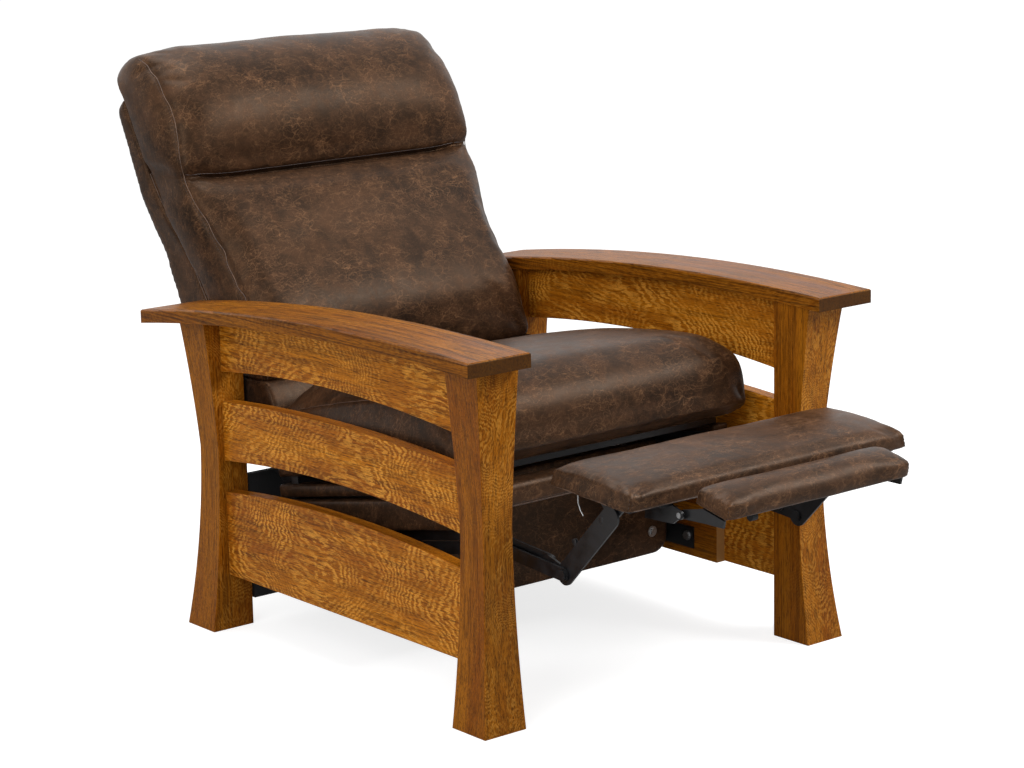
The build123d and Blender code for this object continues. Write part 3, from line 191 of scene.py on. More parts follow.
def oak(name, grain, figured, cut="#34200F", scale=1.0, figure=0.66, streaks=0.62, depth=1.0):
    """Quarter-sawn white oak under an amber-brown satin stain.

    Straight grain lines 2 to 4 mm apart, short dark pores, and bright rippled ray flecks on figured faces.
    The grain and figured axes are letters, scale widens the figure, and depth brightens or darkens the
    stain's colours for each kind of piece: painted light and shade.
    """
    sizes = bpy.context.scene.oak_sizes
    # the stain's colours scaled up or down for each kind of piece: painted light and shade
    light, middle, dark, bright = (tuple(c * depth for c in colour) + (1,)
                                   for colour in (sizes.light, sizes.middle, sizes.dark, sizes.fleck))
    made, tree = material(name)
    where = add(tree, "ShaderNodeTexCoord").outputs["Object"]
    turn = {"Z": (0, math.radians(90), 0), "Y": (0, 0, math.radians(-90))}[grain]
    board = add(tree, "ShaderNodeMapping", {"Vector": where, "Rotation": turn}).outputs["Vector"]

    def stretched(along, across, **more):
        squeezed = add(tree, "ShaderNodeMapping", {"Vector": board, "Scale": (along, across, across)})
        return add(tree, "ShaderNodeTexNoise", {"Vector": squeezed.outputs["Vector"], "Scale": 1.0, **more})

    tone = stretched(1.6, 20.0, Detail=3.0, Roughness=0.55)
    lines = stretched(4.5, 280.0, Detail=4.0, Roughness=0.6, Distortion=0.3)
    pores = stretched(55.0, 1500.0, Detail=2.0, Roughness=0.5)
    base = mixed(tree, ramp(tree, tone.outputs["Fac"], [(0.32, grey(0)), (0.70, grey(1))]),
                 middle, light)
    late = ramp(tree, lines.outputs["Fac"], [(0.36, grey(streaks)), (0.56, grey(0.0))])
    base = mixed(tree, late, base, dark)
    # ray flecks: ripples of a slow field that leans across the grain, frayed by a finer one
    step = sizes.fleck_step * scale
    slow = stretched(4.5 / scale, 8.0 / scale, Detail=1.0, Roughness=0.4)
    frayed = stretched(45.0 / scale, 130.0 / scale, Detail=3.0, Roughness=0.6)
    along = add(tree, "ShaderNodeSeparateXYZ", {0: board}).outputs["X"]
    swirl = add(tree, "ShaderNodeMath", {0: along, 1: 0.45 / step}, operation="MULTIPLY").outputs[0]
    swirl = add(tree, "ShaderNodeMath", {0: slow.outputs["Fac"], 1: 0.19 / step, 2: swirl},
                operation="MULTIPLY_ADD").outputs[0]
    swirl = add(tree, "ShaderNodeMath", {0: frayed.outputs["Fac"], 1: 2.3, 2: swirl},
                operation="MULTIPLY_ADD").outputs[0]
    wave = add(tree, "ShaderNodeMath", {0: swirl, 1: 0.5}, operation="PINGPONG")
    crest = ramp(tree, wave.outputs[0], [(0.17, grey(0)), (0.33, grey(1))])
    patch = stretched(11.0 / scale, 24.0 / scale, Detail=5.0, Roughness=0.7)
    broken = ramp(tree, patch.outputs["Fac"], [(0.40, grey(0.10)), (0.60, grey(1))])
    fleck = mixed(tree, 1.0, crest, broken, "MULTIPLY")
    normal = add(tree, "ShaderNodeNewGeometry").outputs["Normal"]
    facing = add(tree, "ShaderNodeSeparateXYZ", {0: normal}).outputs[figured]
    facing = add(tree, "ShaderNodeMath", {0: facing}, operation="ABSOLUTE").outputs[0]
    shown = ramp(tree, facing, [(0.55, grey(0.10)), (0.85, grey(figure))])
    fleck = mixed(tree, 1.0, fleck, shown, "MULTIPLY")
    base = mixed(tree, fleck, base, bright)
    dots = ramp(tree, pores.outputs["Fac"], [(0.52, grey(0)), (0.64, grey(0.85))])
    base = mixed(tree, dots, base, dark)
    ends = add(tree, "ShaderNodeSeparateXYZ", {0: normal}).outputs[grain]
    ends = add(tree, "ShaderNodeMath", {0: ends}, operation="ABSOLUTE").outputs[0]
    end_grain = ramp(tree, ends, [(0.80, grey(0)), (0.93, grey(0.82))])
    base = mixed(tree, end_grain, base, linear(cut))
    height = mixed(tree, 1.0, dots, late, "ADD")
    bump = add(tree, "ShaderNodeBump", {"Strength": 0.2, "Distance": 0.0004, "Height": height}, invert=True)
    rough = ramp(tree, tone.outputs["Fac"], [(0.3, grey(0.34)), (0.7, grey(0.44))])
    return coated(made, tree, base, rough, bump,
                  {"IOR": 1.45, "Specular IOR Level": 0.2, "Specular Tint": linear("#F2CFA0")})


def leather(name):
    """Pull-up leather: oily brown hide with cloudy mottling and a web of rubbed scratches."""
    sizes = bpy.context.scene.leather_sizes
    made, tree = material(name)
    where = add(tree, "ShaderNodeTexCoord").outputs["Object"]

    def noise_of(scale, **more):
        return add(tree, "ShaderNodeTexNoise", {"Vector": where, "Scale": scale, **more})

    cloud = noise_of(8.0, Detail=5.0, Roughness=0.6, Distortion=0.5)
    mottle = noise_of(34.0, Detail=6.0, Roughness=0.7, Distortion=0.6)
    deep, plain, worn = ((*colour, 1) for colour in (sizes.deep, sizes.base, sizes.worn))
    base = ramp(tree, cloud.outputs["Fac"], [(0.30, deep), (0.52, plain), (0.90, worn)])
    blot = ramp(tree, mottle.outputs["Fac"], [(0.45, grey(0)), (0.70, grey(0.6))])
    base = mixed(tree, blot, base, worn)
    pit = ramp(tree, mottle.outputs["Fac"], [(0.30, grey(0.35)), (0.45, grey(0))])
    base = mixed(tree, pit, base, deep)
    # rubbed lines: the thin level lines of long slanting noises, and the edges of a small warped cell pattern
    warp = noise_of(16.0, Detail=5.0, Roughness=0.65)
    bent = mixed(tree, 0.07, where, warp.outputs["Color"], "ADD")
    cells = add(tree, "ShaderNodeTexVoronoi", {"Vector": bent, "Scale": 95.0}, feature="DISTANCE_TO_EDGE")
    web = ramp(tree, cells.outputs["Distance"], [(0.0, grey(0.6)), (0.035, grey(0))])
    eddy = mixed(tree, 0.025, where, warp.outputs["Color"], "ADD")
    for turn, scale in ((0.7, 11.0), (-0.8, 14.0), (1.9, 18.0), (-1.7, 23.0), (2.6, 31.0)):
        lay = add(tree, "ShaderNodeMapping", {"Vector": eddy, "Rotation": (turn, turn, turn * 1.3),
                                              "Scale": (scale, scale * 3.0, scale * 1.8)})
        level = add(tree, "ShaderNodeTexNoise", {"Vector": lay.outputs["Vector"], "Scale": 1.0, "Detail": 2.0,
                                                 "Roughness": 0.5})
        away = add(tree, "ShaderNodeMath", {0: level.outputs["Fac"], 1: 0.5}, operation="SUBTRACT").outputs[0]
        away = add(tree, "ShaderNodeMath", {0: away}, operation="ABSOLUTE").outputs[0]
        web = mixed(tree, 0.75, web, ramp(tree, away, [(0.0, grey(1)), (0.010, grey(0))]), "ADD")
    rubbed = noise_of(17.0, Detail=4.0, Roughness=0.65)
    where_rubbed = ramp(tree, rubbed.outputs["Fac"], [(0.36, grey(0.08)), (0.68, grey(0.46))])
    web = mixed(tree, 1.0, web, where_rubbed, "MULTIPLY")
    base = mixed(tree, web, base, linear("#8A6446"))
    grain = add(tree, "ShaderNodeTexVoronoi", {"Vector": where, "Scale": 750.0})
    fine = noise_of(240.0, Detail=3.0, Roughness=0.6)
    relief = mixed(tree, 0.5, grain.outputs["Distance"], fine.outputs["Fac"])
    bump = add(tree, "ShaderNodeBump", {"Strength": 0.20, "Distance": 0.0006, "Height": relief})
    rough = ramp(tree, mottle.outputs["Fac"], [(0.35, grey(0.34)), (0.7, grey(0.46))])
    return coated(made, tree, base, rough, bump,
                  {"IOR": 1.45, "Specular IOR Level": 0.27, "Specular Tint": linear("#E9C4A4")})


def raw_edge():
    """Turned edge of the hide where the finish has worn to the tan skin below."""
    made, tree = material("worn_leather_edge")
    where = add(tree, "ShaderNodeTexCoord").outputs["Object"]
    wear = add(tree, "ShaderNodeTexNoise", {"Vector": where, "Scale": 90.0, "Detail": 4.0})
    tone = ramp(tree, wear.outputs["Fac"], [(0.32, linear("#33231A")), (0.68, linear("#6B4E39"))])
    bump = add(tree, "ShaderNodeBump", {"Strength": 0.2, "Distance": 0.0003, "Height": wear.outputs["Fac"]})
    return coated(made, tree, tone, 0.5, bump)


def waxed_thread():
    """Waxed upholstery thread, dark brown, with the twist of its plies."""
    made, tree = material("waxed_thread")
    where = add(tree, "ShaderNodeTexCoord").outputs["Object"]
    twist = add(tree, "ShaderNodeTexNoise", {"Vector": where, "Scale": 1800.0, "Detail": 2.0})
    tone = ramp(tree, twist.outputs["Fac"], [(0.3, linear("#20130E")), (0.7, linear("#3B241A"))])
    bump = add(tree, "ShaderNodeBump", {"Strength": 0.3, "Distance": 0.0002, "Height": twist.outputs["Fac"]})
    return coated(made, tree, tone, 0.55, bump)


def cambric():
    """Black cambric dust cover: thin unwoven cloth with a faint crossed fibre and a dull face."""
    made, tree = material("black_cambric")
    where = add(tree, "ShaderNodeTexCoord").outputs["Object"]
    threads = []
    for turn in (0.6, -0.7):
        lay = add(tree, "ShaderNodeMapping",
                  {"Vector": where, "Rotation": (turn, 0.4, turn), "Scale": (900, 60, 60)})
        threads.append(add(tree, "ShaderNodeTexNoise",
                           {"Vector": lay.outputs["Vector"], "Scale": 1.0, "Detail": 3.0}))
    felt = mixed(tree, 0.5, threads[0].outputs["Fac"], threads[1].outputs["Fac"])
    tone = ramp(tree, felt, [(0.35, linear("#0E0E10")), (0.65, linear("#1D1D20"))])
    bump = add(tree, "ShaderNodeBump", {"Strength": 0.25, "Distance": 0.0003, "Height": felt})
    return coated(made, tree, tone, 0.85, bump, {"Sheen Weight": 0.1})


def painted_steel():
    """Black enamel sprayed on steel strip: even, a little orange-peel, bright only at grazing light."""
    made, tree = material("black_enamel_steel")
    where = add(tree, "ShaderNodeTexCoord").outputs["Object"]
    peel = add(tree, "ShaderNodeTexNoise", {"Vector": where, "Scale": 700.0, "Detail": 2.0})
    wear = add(tree, "ShaderNodeTexNoise", {"Vector": where, "Scale": 60.0, "Detail": 4.0})
    tone = ramp(tree, wear.outputs["Fac"], [(0.3, linear("#0C0C0D")), (0.75, linear("#1B1B1E"))])
    rough = ramp(tree, wear.outputs["Fac"], [(0.3, grey(0.32)), (0.7, grey(0.48))])
    bump = add(tree, "ShaderNodeBump", {"Strength": 0.08, "Distance": 0.0003, "Height": peel.outputs["Fac"]})
    return coated(made, tree, tone, rough, bump)


def zinc_plate():
    """Zinc plated steel: grey metal with a faint spangle."""
    made, tree = material("zinc_plated_steel")
    where = add(tree, "ShaderNodeTexCoord").outputs["Object"]
    spangle = add(tree, "ShaderNodeTexVoronoi", {"Vector": where, "Scale": 500.0})
    tone = ramp(tree, spangle.outputs["Distance"], [(0.0, linear("#8F9092")), (1.0, linear("#B9BABA"))])
    rough = ramp(tree, spangle.outputs["Distance"], [(0.0, grey(0.3)), (1.0, grey(0.42))])
    return coated(made, tree, tone, rough, extra={"Metallic": 1.0})


def moulded_rubber():
    """Black moulded rubber: matt, with a fine even grain."""
    made, tree = material("moulded_rubber")
    where = add(tree, "ShaderNodeTexCoord").outputs["Object"]
    grain = add(tree, "ShaderNodeTexNoise", {"Vector": where, "Scale": 1200.0, "Detail": 2.0})
    tone = ramp(tree, grain.outputs["Fac"], [(0.3, linear("#141414")), (0.8, linear("#232323"))])
    bump = add(tree, "ShaderNodeBump", {"Strength": 0.1, "Distance": 0.0002, "Height": grain.outputs["Fac"]})
    return coated(made, tree, tone, 0.75, bump)


def sawn_board():
    """Unfinished softwood of the hidden rear seat rail: pale, straight grained, dull."""
    made, tree = material("unfinished_pine")
    where = add(tree, "ShaderNodeTexCoord").outputs["Object"]
    along = add(tree, "ShaderNodeMapping", {"Vector": where, "Scale": (60.0, 6.0, 150.0)})
    grain = add(tree, "ShaderNodeTexNoise", {"Vector": along.outputs["Vector"], "Scale": 1.0, "Detail": 4.0})
    tone = ramp(tree, grain.outputs["Fac"],
                [(0.3, linear("#8A6235")), (0.6, linear("#C39A63")), (0.8, linear("#D8B47E"))])
    bump = add(tree, "ShaderNodeBump", {"Strength": 0.15, "Distance": 0.0004, "Height": grain.outputs["Fac"]})
    return coated(made, tree, tone, 0.65, bump)


MAKERS = {
    # The brighter boards and the darker uprights and arms are lit and shaded copies of one stain: painted
    # light and shade.
    "oak_leg": lambda: oak("stained_oak_upright", "Z", "Y", scale=0.6, figure=0.5, depth=0.95),
    "oak_board": lambda: oak("stained_oak_board", "Y", "X", depth=1.3),
    "oak_arm": lambda: oak("stained_oak_arm", "Y", "X", figure=0.15, streaks=0.95, depth=0.78),
    "leather": lambda: leather("pull_up_leather"),
    "oak_cleat": lambda: oak("stained_oak_cleat", "Y", "Z", "#B08552", figure=0.1),
    "edge": raw_edge,
    "thread": waxed_thread,
    "cambric": cambric,
    "steel": painted_steel,
    "zinc": zinc_plate,
    "rubber": moulded_rubber,
    "pine": sawn_board,
}
MADE = {}


def finish(name):
    """The material of a finish, made the first time that it is asked for."""
    if name not in MADE:
        MADE[name] = MAKERS[name]()
    return MADE[name]


def dress(obj, name):
    obj.data.materials.clear()
    obj.data.materials.append(finish(name))


def link(name, mesh):
    obj = bpy.data.objects.new(name, mesh)
    bpy.context.scene.collection.objects.link(obj)
    return obj


def copy_of(node, name):
    """A copy of a node's mesh with its loose triangles joined into one skin."""
    mesh = NODES[node].data.copy()
    mesh.name = name
    bm = bmesh.new()
    bm.from_mesh(mesh)
    bmesh.ops.remove_doubles(bm, verts=bm.verts, dist=2e-6)
    bm.to_mesh(mesh)
    bm.free()
    mesh.materials.clear()
    return link(name, mesh)


def bake(obj):
    """Replaces an object's mesh by what its modifiers make of it."""
    graph = bpy.context.evaluated_depsgraph_get()
    graph.update()
    mesh = bpy.data.meshes.new_from_object(obj.evaluated_get(graph))
    old = obj.data
    obj.modifiers.clear()
    obj.data = mesh
    bpy.data.meshes.remove(old)


def shade(obj, smooth=True):
    for face in obj.data.polygons:
        face.use_smooth = smooth


def eased(node, width, name):
    """A copy of a rigid piece with its sharp edges eased."""
    obj = copy_of(node, name)
    bm = bmesh.new()
    bm.from_mesh(obj.data)
    bmesh.ops.dissolve_limit(bm, angle_limit=math.radians(0.05), verts=bm.verts, edges=bm.edges)
    bm.to_mesh(obj.data)
    bm.free()
    bevel = obj.modifiers.new("eased", "BEVEL")
    bevel.width = width
    bevel.segments = 3
    bevel.limit_method = "ANGLE"
    bevel.angle_limit = math.radians(35)
    bevel.harden_normals = False
    weighted = obj.modifiers.new("normals", "WEIGHTED_NORMAL")
    weighted.keep_sharp = True
    shade(obj)
    bake(obj)
    return obj


class ARMCHAIR_OT_oak_frame(bpy.types.Operator):
    """Legs, arms and side boards of quarter-sawn oak with eased edges"""
    bl_idname = "armchair.oak_frame"
    bl_label = "Oak frame"

    def execute(self, context):
        sizes = context.scene.oak_sizes
        for side in SIDES:
            rows = [(f"leg_front_{side}", "oak_leg"), (f"leg_rear_{side}", "oak_leg"),
                    (f"arm_apron_{side}", "oak_board"), (f"side_slat_{side}", "oak_board"),
                    (f"side_panel_{side}", "oak_board")]
            for node, colour in rows:
                obj = eased(node, sizes.edge, f"{node}_oak")
                dress(obj, colour)
                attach(obj, BODY_OF[node])
                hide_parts(node)
            dress(NODES[f"arm_{side}"], "oak_arm")
        return {"FINISHED"}


def plan(node):
    """Kind of finish for each carried-over node."""
    if node.startswith("mounting_cleat"):
        return "oak_cleat"
    if node in ("footrest_underboard", "flip_underboard", "rear_cover"):
        return "cambric"
    if node == "seat_rear_rail":
        return "pine"
    if node in ("base_bolts", "fascia_bolts", "seat_springs", "flip_pins"):
        return "zinc"
    if node in ("flip_bumper", "glide_rollers"):
        return "rubber"
    return "steel"


class ARMCHAIR_OT_mechanism(bpy.types.Operator):
    """Finishes for the steel mechanism, the hidden boards and the dust covers"""
    bl_idname = "armchair.mechanism"
    bl_label = "Mechanism and rails"

    def execute(self, context):
        for node, obj in NODES.items():
            if not node.startswith(("leg_", "arm_", "side_")):
                dress(obj, plan(node))
        return {"FINISHED"}


def shrunk(obj, amount, out):
    """Moves every point in from the surface, except across the face that rests on something."""
    bm = bmesh.new()
    bm.from_mesh(obj.data)
    bm.normal_update()
    for vert in bm.verts:
        lean = vert.normal.dot(out)
        vert.co -= (vert.normal - out * min(lean, 0)) * amount
    bm.to_mesh(obj.data)
    bm.free()


def remeshed(obj, voxel):
    modifier = obj.modifiers.new("skin", "REMESH")
    modifier.mode = "VOXEL"
    modifier.voxel_size = voxel
    modifier.use_smooth_shade = True
    bake(obj)


def filled(obj, held, pressure, cap, steps=16):
    """Lets filling push a cover out like cloth, holding the points that held() picks."""
    rest = [v.co.copy() for v in obj.data.vertices]
    group = obj.vertex_groups.new(name="held")
    fixed = [v.index for v in obj.data.vertices if held(v)]
    group.add(fixed, 1.0, "REPLACE")
    cloth = obj.modifiers.new("filling", "CLOTH")
    settings = cloth.settings
    settings.use_pressure = True
    settings.uniform_pressure_force = pressure
    settings.quality = 4
    settings.mass = 0.02  # light, so that the cover moves far enough in a few steps
    settings.tension_stiffness = 15
    settings.compression_stiffness = 15
    settings.shear_stiffness = 7
    settings.bending_stiffness = 0.5
    settings.vertex_group_mass = group.name
    settings.effector_weights.gravity = 0
    cloth.collision_settings.use_collision = False
    scene = bpy.context.scene
    for step in range(1, steps + 1):
        scene.frame_set(step)
    bake(obj)
    for vert, start in zip(obj.data.vertices, rest):
        move = vert.co - start
        if move.length > cap:
            vert.co = start + move * (cap / move.length)
    scene.frame_set(1)


def smoothed(obj, rounds=4, levels=1):
    soft = obj.modifiers.new("even", "SMOOTH")
    soft.factor = 0.5
    soft.iterations = rounds
    if levels:
        finer = obj.modifiers.new("finer", "SUBSURF")
        finer.levels = levels
        finer.render_levels = levels
    bake(obj)
    shade(obj)


def pressed(obj, change):
    """Moves each point of a finished cover by what change() gives for its place and normal."""
    moves = [change(v.co, v.normal) for v in obj.data.vertices]
    for vert, move in zip(obj.data.vertices, moves):
        vert.co += move


def declared(obj, finish_name, nodes=(), body=None):
    """Gives a new piece its finish and its body, and hides the nodes that it stands for."""
    dress(obj, finish_name)
    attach(obj, body or BODY_OF[nodes[0]])
    if nodes:
        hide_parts(*nodes)
    return obj


def creased(amount, size):
    """Soft unevenness of hide over filling, a fraction of a millimetre high."""
    return lambda place, normal: normal * (noise.noise(place / size) * amount)


# The back in millimetres: half its width between the arms, how much it widens above them, over what height
LOW_HALF, WIDENING = 307, 14
WIDENS_FROM, WIDENS_OVER = 640, 125


def widening_share(z):
    """Share of the widening that the back's solids have at a height in millimetres."""
    return min(max((z - WIDENS_FROM) / WIDENS_OVER, 0), 1)


def back_half(z):
    """Half width of the back at a height in millimetres, with the bends where it widens rounded."""
    share = widening_share(z)
    return LOW_HALF + WIDENING * share * share * (3 - 2 * share)


def straight_sided(place, normal):
    """Takes the solids' widening out of a piece of the back, so that its skin is laid on straight sides."""
    half = LOW_HALF + WIDENING * widening_share(place.z * 1000)
    return Vector((place.x * (LOW_HALF / half - 1), 0, 0))


def widened(place, normal):
    """Gives a straight-sided piece of the back its widening above the arms."""
    return Vector((place.x * (back_half(place.z * 1000) / LOW_HALF - 1), 0, 0))


def cushion(nodes, name, voxel, held, out, cut=None, swell=None, pressure=30.0, widens=False):
    """A filled leather cushion in the space of one or more solids."""
    sizes = bpy.context.scene.leather_sizes
    bm = bmesh.new()
    for node in nodes:
        bm.from_mesh(NODES[node].data)
    bmesh.ops.remove_doubles(bm, verts=bm.verts, dist=2e-6)
    mesh = bpy.data.meshes.new(name)
    bm.to_mesh(mesh)
    bm.free()
    obj = link(name, mesh)
    if widens:
        pressed(obj, straight_sided)
    if len(nodes) > 1:
        remeshed(obj, voxel / 2)
    shrunk(obj, sizes.shrink if cut is None else cut, out)
    remeshed(obj, voxel)
    filled(obj, held, pressure, sizes.swell if swell is None else swell)
    smoothed(obj)
    if widens:
        pressed(obj, widened)
    pressed(obj, creased(0.0007, 0.05))
    return declared(obj, "leather", nodes)


def covered(node, voxel, rounds=3, widens=False):
    """A board or rail with its edges rounded by padding and leather."""
    obj = copy_of(node, f"{node}_cover")
    if widens:
        pressed(obj, straight_sided)
    remeshed(obj, voxel)
    smoothed(obj, rounds, 0)
    if widens:
        pressed(obj, widened)
    pressed(obj, creased(0.0005, 0.06))
    return declared(obj, "leather", (node,))


def fit(x, y, z):
    """A place given in millimetres from the plane midway between the legs."""
    return Vector((x * MM, y * MM + SHIFT, z * MM))


def stepped(points, step=0.006, closed=False):
    """Places along straight runs between points, at most one step apart."""
    places = []
    rows = points + points[:1] if closed else points
    for start, end in zip(rows, rows[1:]):
        count = max(1, math.ceil((end - start).length / step))
        places += [start.lerp(end, k / count) for k in range(count)]
    return places if closed else places + [rows[-1]]


def on_skin(obj, places, lift=0.0):
    """The nearest places on a finished cover, lifted off it by a little."""
    found = []
    for place in places:
        hit, spot, normal, _ = obj.closest_point_on_mesh(place)
        if not hit:
            raise RuntimeError("no surface for a seam")
        found.append(spot + normal * lift)
    for _ in range(4):
        inner = [(a + b * 2 + c) / 4 for a, b, c in zip(found, found[1:], found[2:])]
        found = found[:1] + inner + found[-1:]
    return found


def curve_of(name, rows, radius=0.0, closed=False):
    """A curve with one spline for each row of places."""
    data = bpy.data.curves.new(name, "CURVE")
    data.dimensions = "3D"
    data.bevel_depth = radius
    data.bevel_resolution = 2
    data.use_fill_caps = True
    for row in rows:
        spline = data.splines.new("POLY")
        spline.points.add(len(row) - 1)
        for point, place in zip(spline.points, row):
            point.co = (*place, 1.0)
        spline.use_cyclic_u = closed
    obj = bpy.data.objects.new(name, data)
    bpy.context.scene.collection.objects.link(obj)
    return obj


def meshed(source, name):
    """The finished mesh of a curve or of an object with modifiers, as a new plain object."""
    graph = bpy.context.evaluated_depsgraph_get()
    graph.update()
    mesh = bpy.data.meshes.new_from_object(source.evaluated_get(graph))
    data = source.data
    bpy.data.objects.remove(source)
    kind = bpy.data.curves if isinstance(data, bpy.types.Curve) else bpy.data.meshes
    kind.remove(data)
    obj = link(name, mesh)
    shade(obj)
    return obj


def seam(name, rows, body, finish_name="edge", closed=False, radius=None):
    """Turned seams: a thin roll of hide that follows each row of places."""
    size = bpy.context.scene.sewing_sizes.seam if radius is None else radius
    obj = meshed(curve_of(f"{name}_line", rows, size, closed), name)
    return declared(obj, finish_name, body=body)


def tree_of(name, sockets):
    """An empty geometry tree with a geometry in and out and named inputs."""
    tree = bpy.data.node_groups.new(name, "GeometryNodeTree")
    face = tree.interface
    face.new_socket("Geometry", in_out="INPUT", socket_type="NodeSocketGeometry")
    for label, kind in sockets:
        face.new_socket(label, in_out="INPUT", socket_type=kind)
    face.new_socket("Geometry", in_out="OUTPUT", socket_type="NodeSocketGeometry")
    return tree, add(tree, "NodeGroupInput").outputs


def closed_tree(tree, points, instance, turn, stretch, finish_socket):
    """Puts an instance on each point, makes it real and gives it its material."""
    placed = add(tree, "GeometryNodeInstanceOnPoints",
                 {"Points": points, "Instance": instance, "Rotation": turn, "Scale": stretch})
    real = add(tree, "GeometryNodeRealizeInstances", {0: placed.outputs[0]})
    dressed = add(tree, "GeometryNodeSetMaterial", {"Geometry": real.outputs[0], "Material": finish_socket})
    add(tree, "NodeGroupOutput", {0: dressed.outputs[0]})
    return tree


def stitch_tree():
    """Evenly spaced stitches along every spline, each a short length of thread."""
    if "stitch_row" in bpy.data.node_groups:
        return bpy.data.node_groups["stitch_row"]
    number = "NodeSocketFloat"
    tree, given = tree_of("stitch_row", (("Pitch", number), ("Stitch length", number),
                                         ("Thread radius", number), ("Thread", "NodeSocketMaterial")))
    spaced = add(tree, "GeometryNodeResampleCurve", {"Curve": given["Geometry"], "Length": given["Pitch"]},
                 mode="LENGTH")
    along = add(tree, "GeometryNodeInputTangent").outputs[0]
    turn = add(tree, "FunctionNodeAlignRotationToVector", {"Vector": along}, axis="Z").outputs[0]
    ball = add(tree, "GeometryNodeMeshUVSphere", {"Segments": 8, "Rings": 6, "Radius": 0.5}).outputs[0]
    thick = add(tree, "ShaderNodeMath", {0: given["Thread radius"], 1: 2.0}, operation="MULTIPLY").outputs[0]
    size = add(tree, "ShaderNodeCombineXYZ", {0: thick, 1: thick, 2: given["Stitch length"]}).outputs[0]
    return closed_tree(tree, spaced.outputs[0], ball, turn, size, given["Thread"])


def rivet_tree():
    """Low round rivet heads on every point, their axis across the chair."""
    number = "NodeSocketFloat"
    tree, given = tree_of("rivet_heads", (("Head radius", number), ("Head height", number),
                                          ("Metal", "NodeSocketMaterial")))
    ball = add(tree, "GeometryNodeMeshUVSphere", {"Segments": 20, "Rings": 10, "Radius": 1.0}).outputs[0]
    size = add(tree, "ShaderNodeCombineXYZ",
               {0: given["Head height"], 1: given["Head radius"], 2: given["Head radius"]}).outputs[0]
    return closed_tree(tree, given["Geometry"], ball, (0.0, 0.0, 0.0), size, given["Metal"])


def grown(source, tree, inputs, name):
    """Runs a geometry tree on an object with its named inputs and keeps the mesh that it makes."""
    modifier = source.modifiers.new(tree.name, "NODES")
    modifier.node_group = tree
    for item in tree.interface.items_tree:
        if item.item_type == "SOCKET" and item.in_out == "INPUT" and item.name in inputs:
            modifier[item.identifier] = inputs[item.name]
    return meshed(source, name)


def stitches(name, rows, body, closed=False):
    """Rows of dark thread stitches along places on a cover."""
    sizes = bpy.context.scene.sewing_sizes
    line = curve_of(f"{name}_line", rows, closed=closed)
    obj = grown(line, stitch_tree(), {"Pitch": sizes.pitch, "Stitch length": sizes.length,
                                      "Thread radius": sizes.thread, "Thread": finish("thread")}, name)
    return declared(obj, "thread", body=body)


BACK_LEAN = math.radians(34.5)
SEAT_LEAN = math.radians(11.3)
BACK_FRONT = Vector((0, -math.cos(BACK_LEAN), math.sin(BACK_LEAN)))
SEAT_UP = Vector((0, math.sin(SEAT_LEAN), math.cos(SEAT_LEAN)))
# In metres: height of the crease under the headrest, its half length, and how deep and wide its fold and the
# hollow round it are
CREASE_HEIGHT = 0.798
CREASE_HALF = 0.321
FOLD_DEPTH, HOLLOW_DEPTH = 0.017, 0.006
FOLD_WIDTH, HOLLOW_WIDTH = 0.0055, 0.020
GATHERS = 9
# In metres: the arms' height, and half the room between them for the seat and for the back
ARM_HEIGHT = 0.62
SEAT_ROOM, BACK_ROOM = 0.3145, 0.3125
# In metres: how far filling pushes out the seat, the lower back, the headrest and the pads all round
SEAT_FILL, BACK_FILL, HEADREST_FILL, PAD_FILL = 0.007, 0.006, 0.010, 0.0035
# In metres: how deep the side seams draw in the back and the seat, and how far from the seam
BACK_DRAWN, SEAT_DRAWN, DRAWN_REACH = 0.0022, 0.002, 0.006

# Front side seam of the back, from the seat up over the headrest: (y, z) in millimetres
BACK_SEAM = ((282, 443), (284, 474), (301, 505), (324, 559), (360, 600), (396, 651), (442, 716), (457, 734),
             (474, 753), (490, 773), (500, 785), (504, 804), (511, 837), (514, 860), (524, 895), (538, 920),
             (553, 934), (585, 972), (615, 992), (642, 1003))
# Side seam of the seat cushion, as shares of its length and side height
SEAT_SEAM = ((0.085, 0.03), (0.03, 0.12), (0.008, 0.36), (0.02, 0.72), (0.10, 0.93), (0.30, 1.01),
             (0.50, 1.04), (0.70, 1.02), (0.895, 0.97))
# Each pad's slope in degrees, then in millimetres its rear lower edge (y, z), length, half width, thickness
PADS = {"footrest_pad": (3.6, -479.0, 409.0, 186.0, 303.0, 25.0),
        "flip_pad": (12.6, -699.0, 402.0, 69.5, 197.0, 23.0)}


def joint_y(z):
    """Y in millimetres of the joint between the shell and the cushions, at a height."""
    return 383 + (z - 450) * math.tan(BACK_LEAN)


def seat_base(y):
    """Height in millimetres of the seat cushion's underside, at a place along the seat."""
    return 322.4 + (13.3 - y * math.sin(SEAT_LEAN)) / math.cos(SEAT_LEAN)


def crease_pull(place, normal):
    """Pulls the cover in along the crease and lets the roll hang over it, flat and gathered at the ends."""
    rise = place.z - CREASE_HEIGHT
    if abs(rise) > 0.06 or normal.dot(BACK_FRONT) < -0.2:
        return Vector()
    share = abs(place.x) / CREASE_HALF
    middle = max(0.0, 1.0 - (share / 0.89) ** 12)
    narrow = math.exp(-(rise / FOLD_WIDTH) ** 2)
    wide = math.exp(-(rise / HOLLOW_WIDTH) ** 2)
    move = BACK_FRONT * -(FOLD_DEPTH * narrow + HOLLOW_DEPTH * wide) * (0.4 + 0.6 * middle)
    hang = math.exp(-((rise - 0.012) / 0.010) ** 2) * middle
    move += Vector((0, -0.003, -0.009)) * hang
    gather = math.exp(-((share - 0.92) / 0.07) ** 2) * math.exp(-(rise / 0.03) ** 2)
    angle = math.atan2(rise, 0.318 - abs(place.x))
    return move - BACK_FRONT * 0.0016 * gather * (0.5 + 0.5 * math.cos(angle * GATHERS))


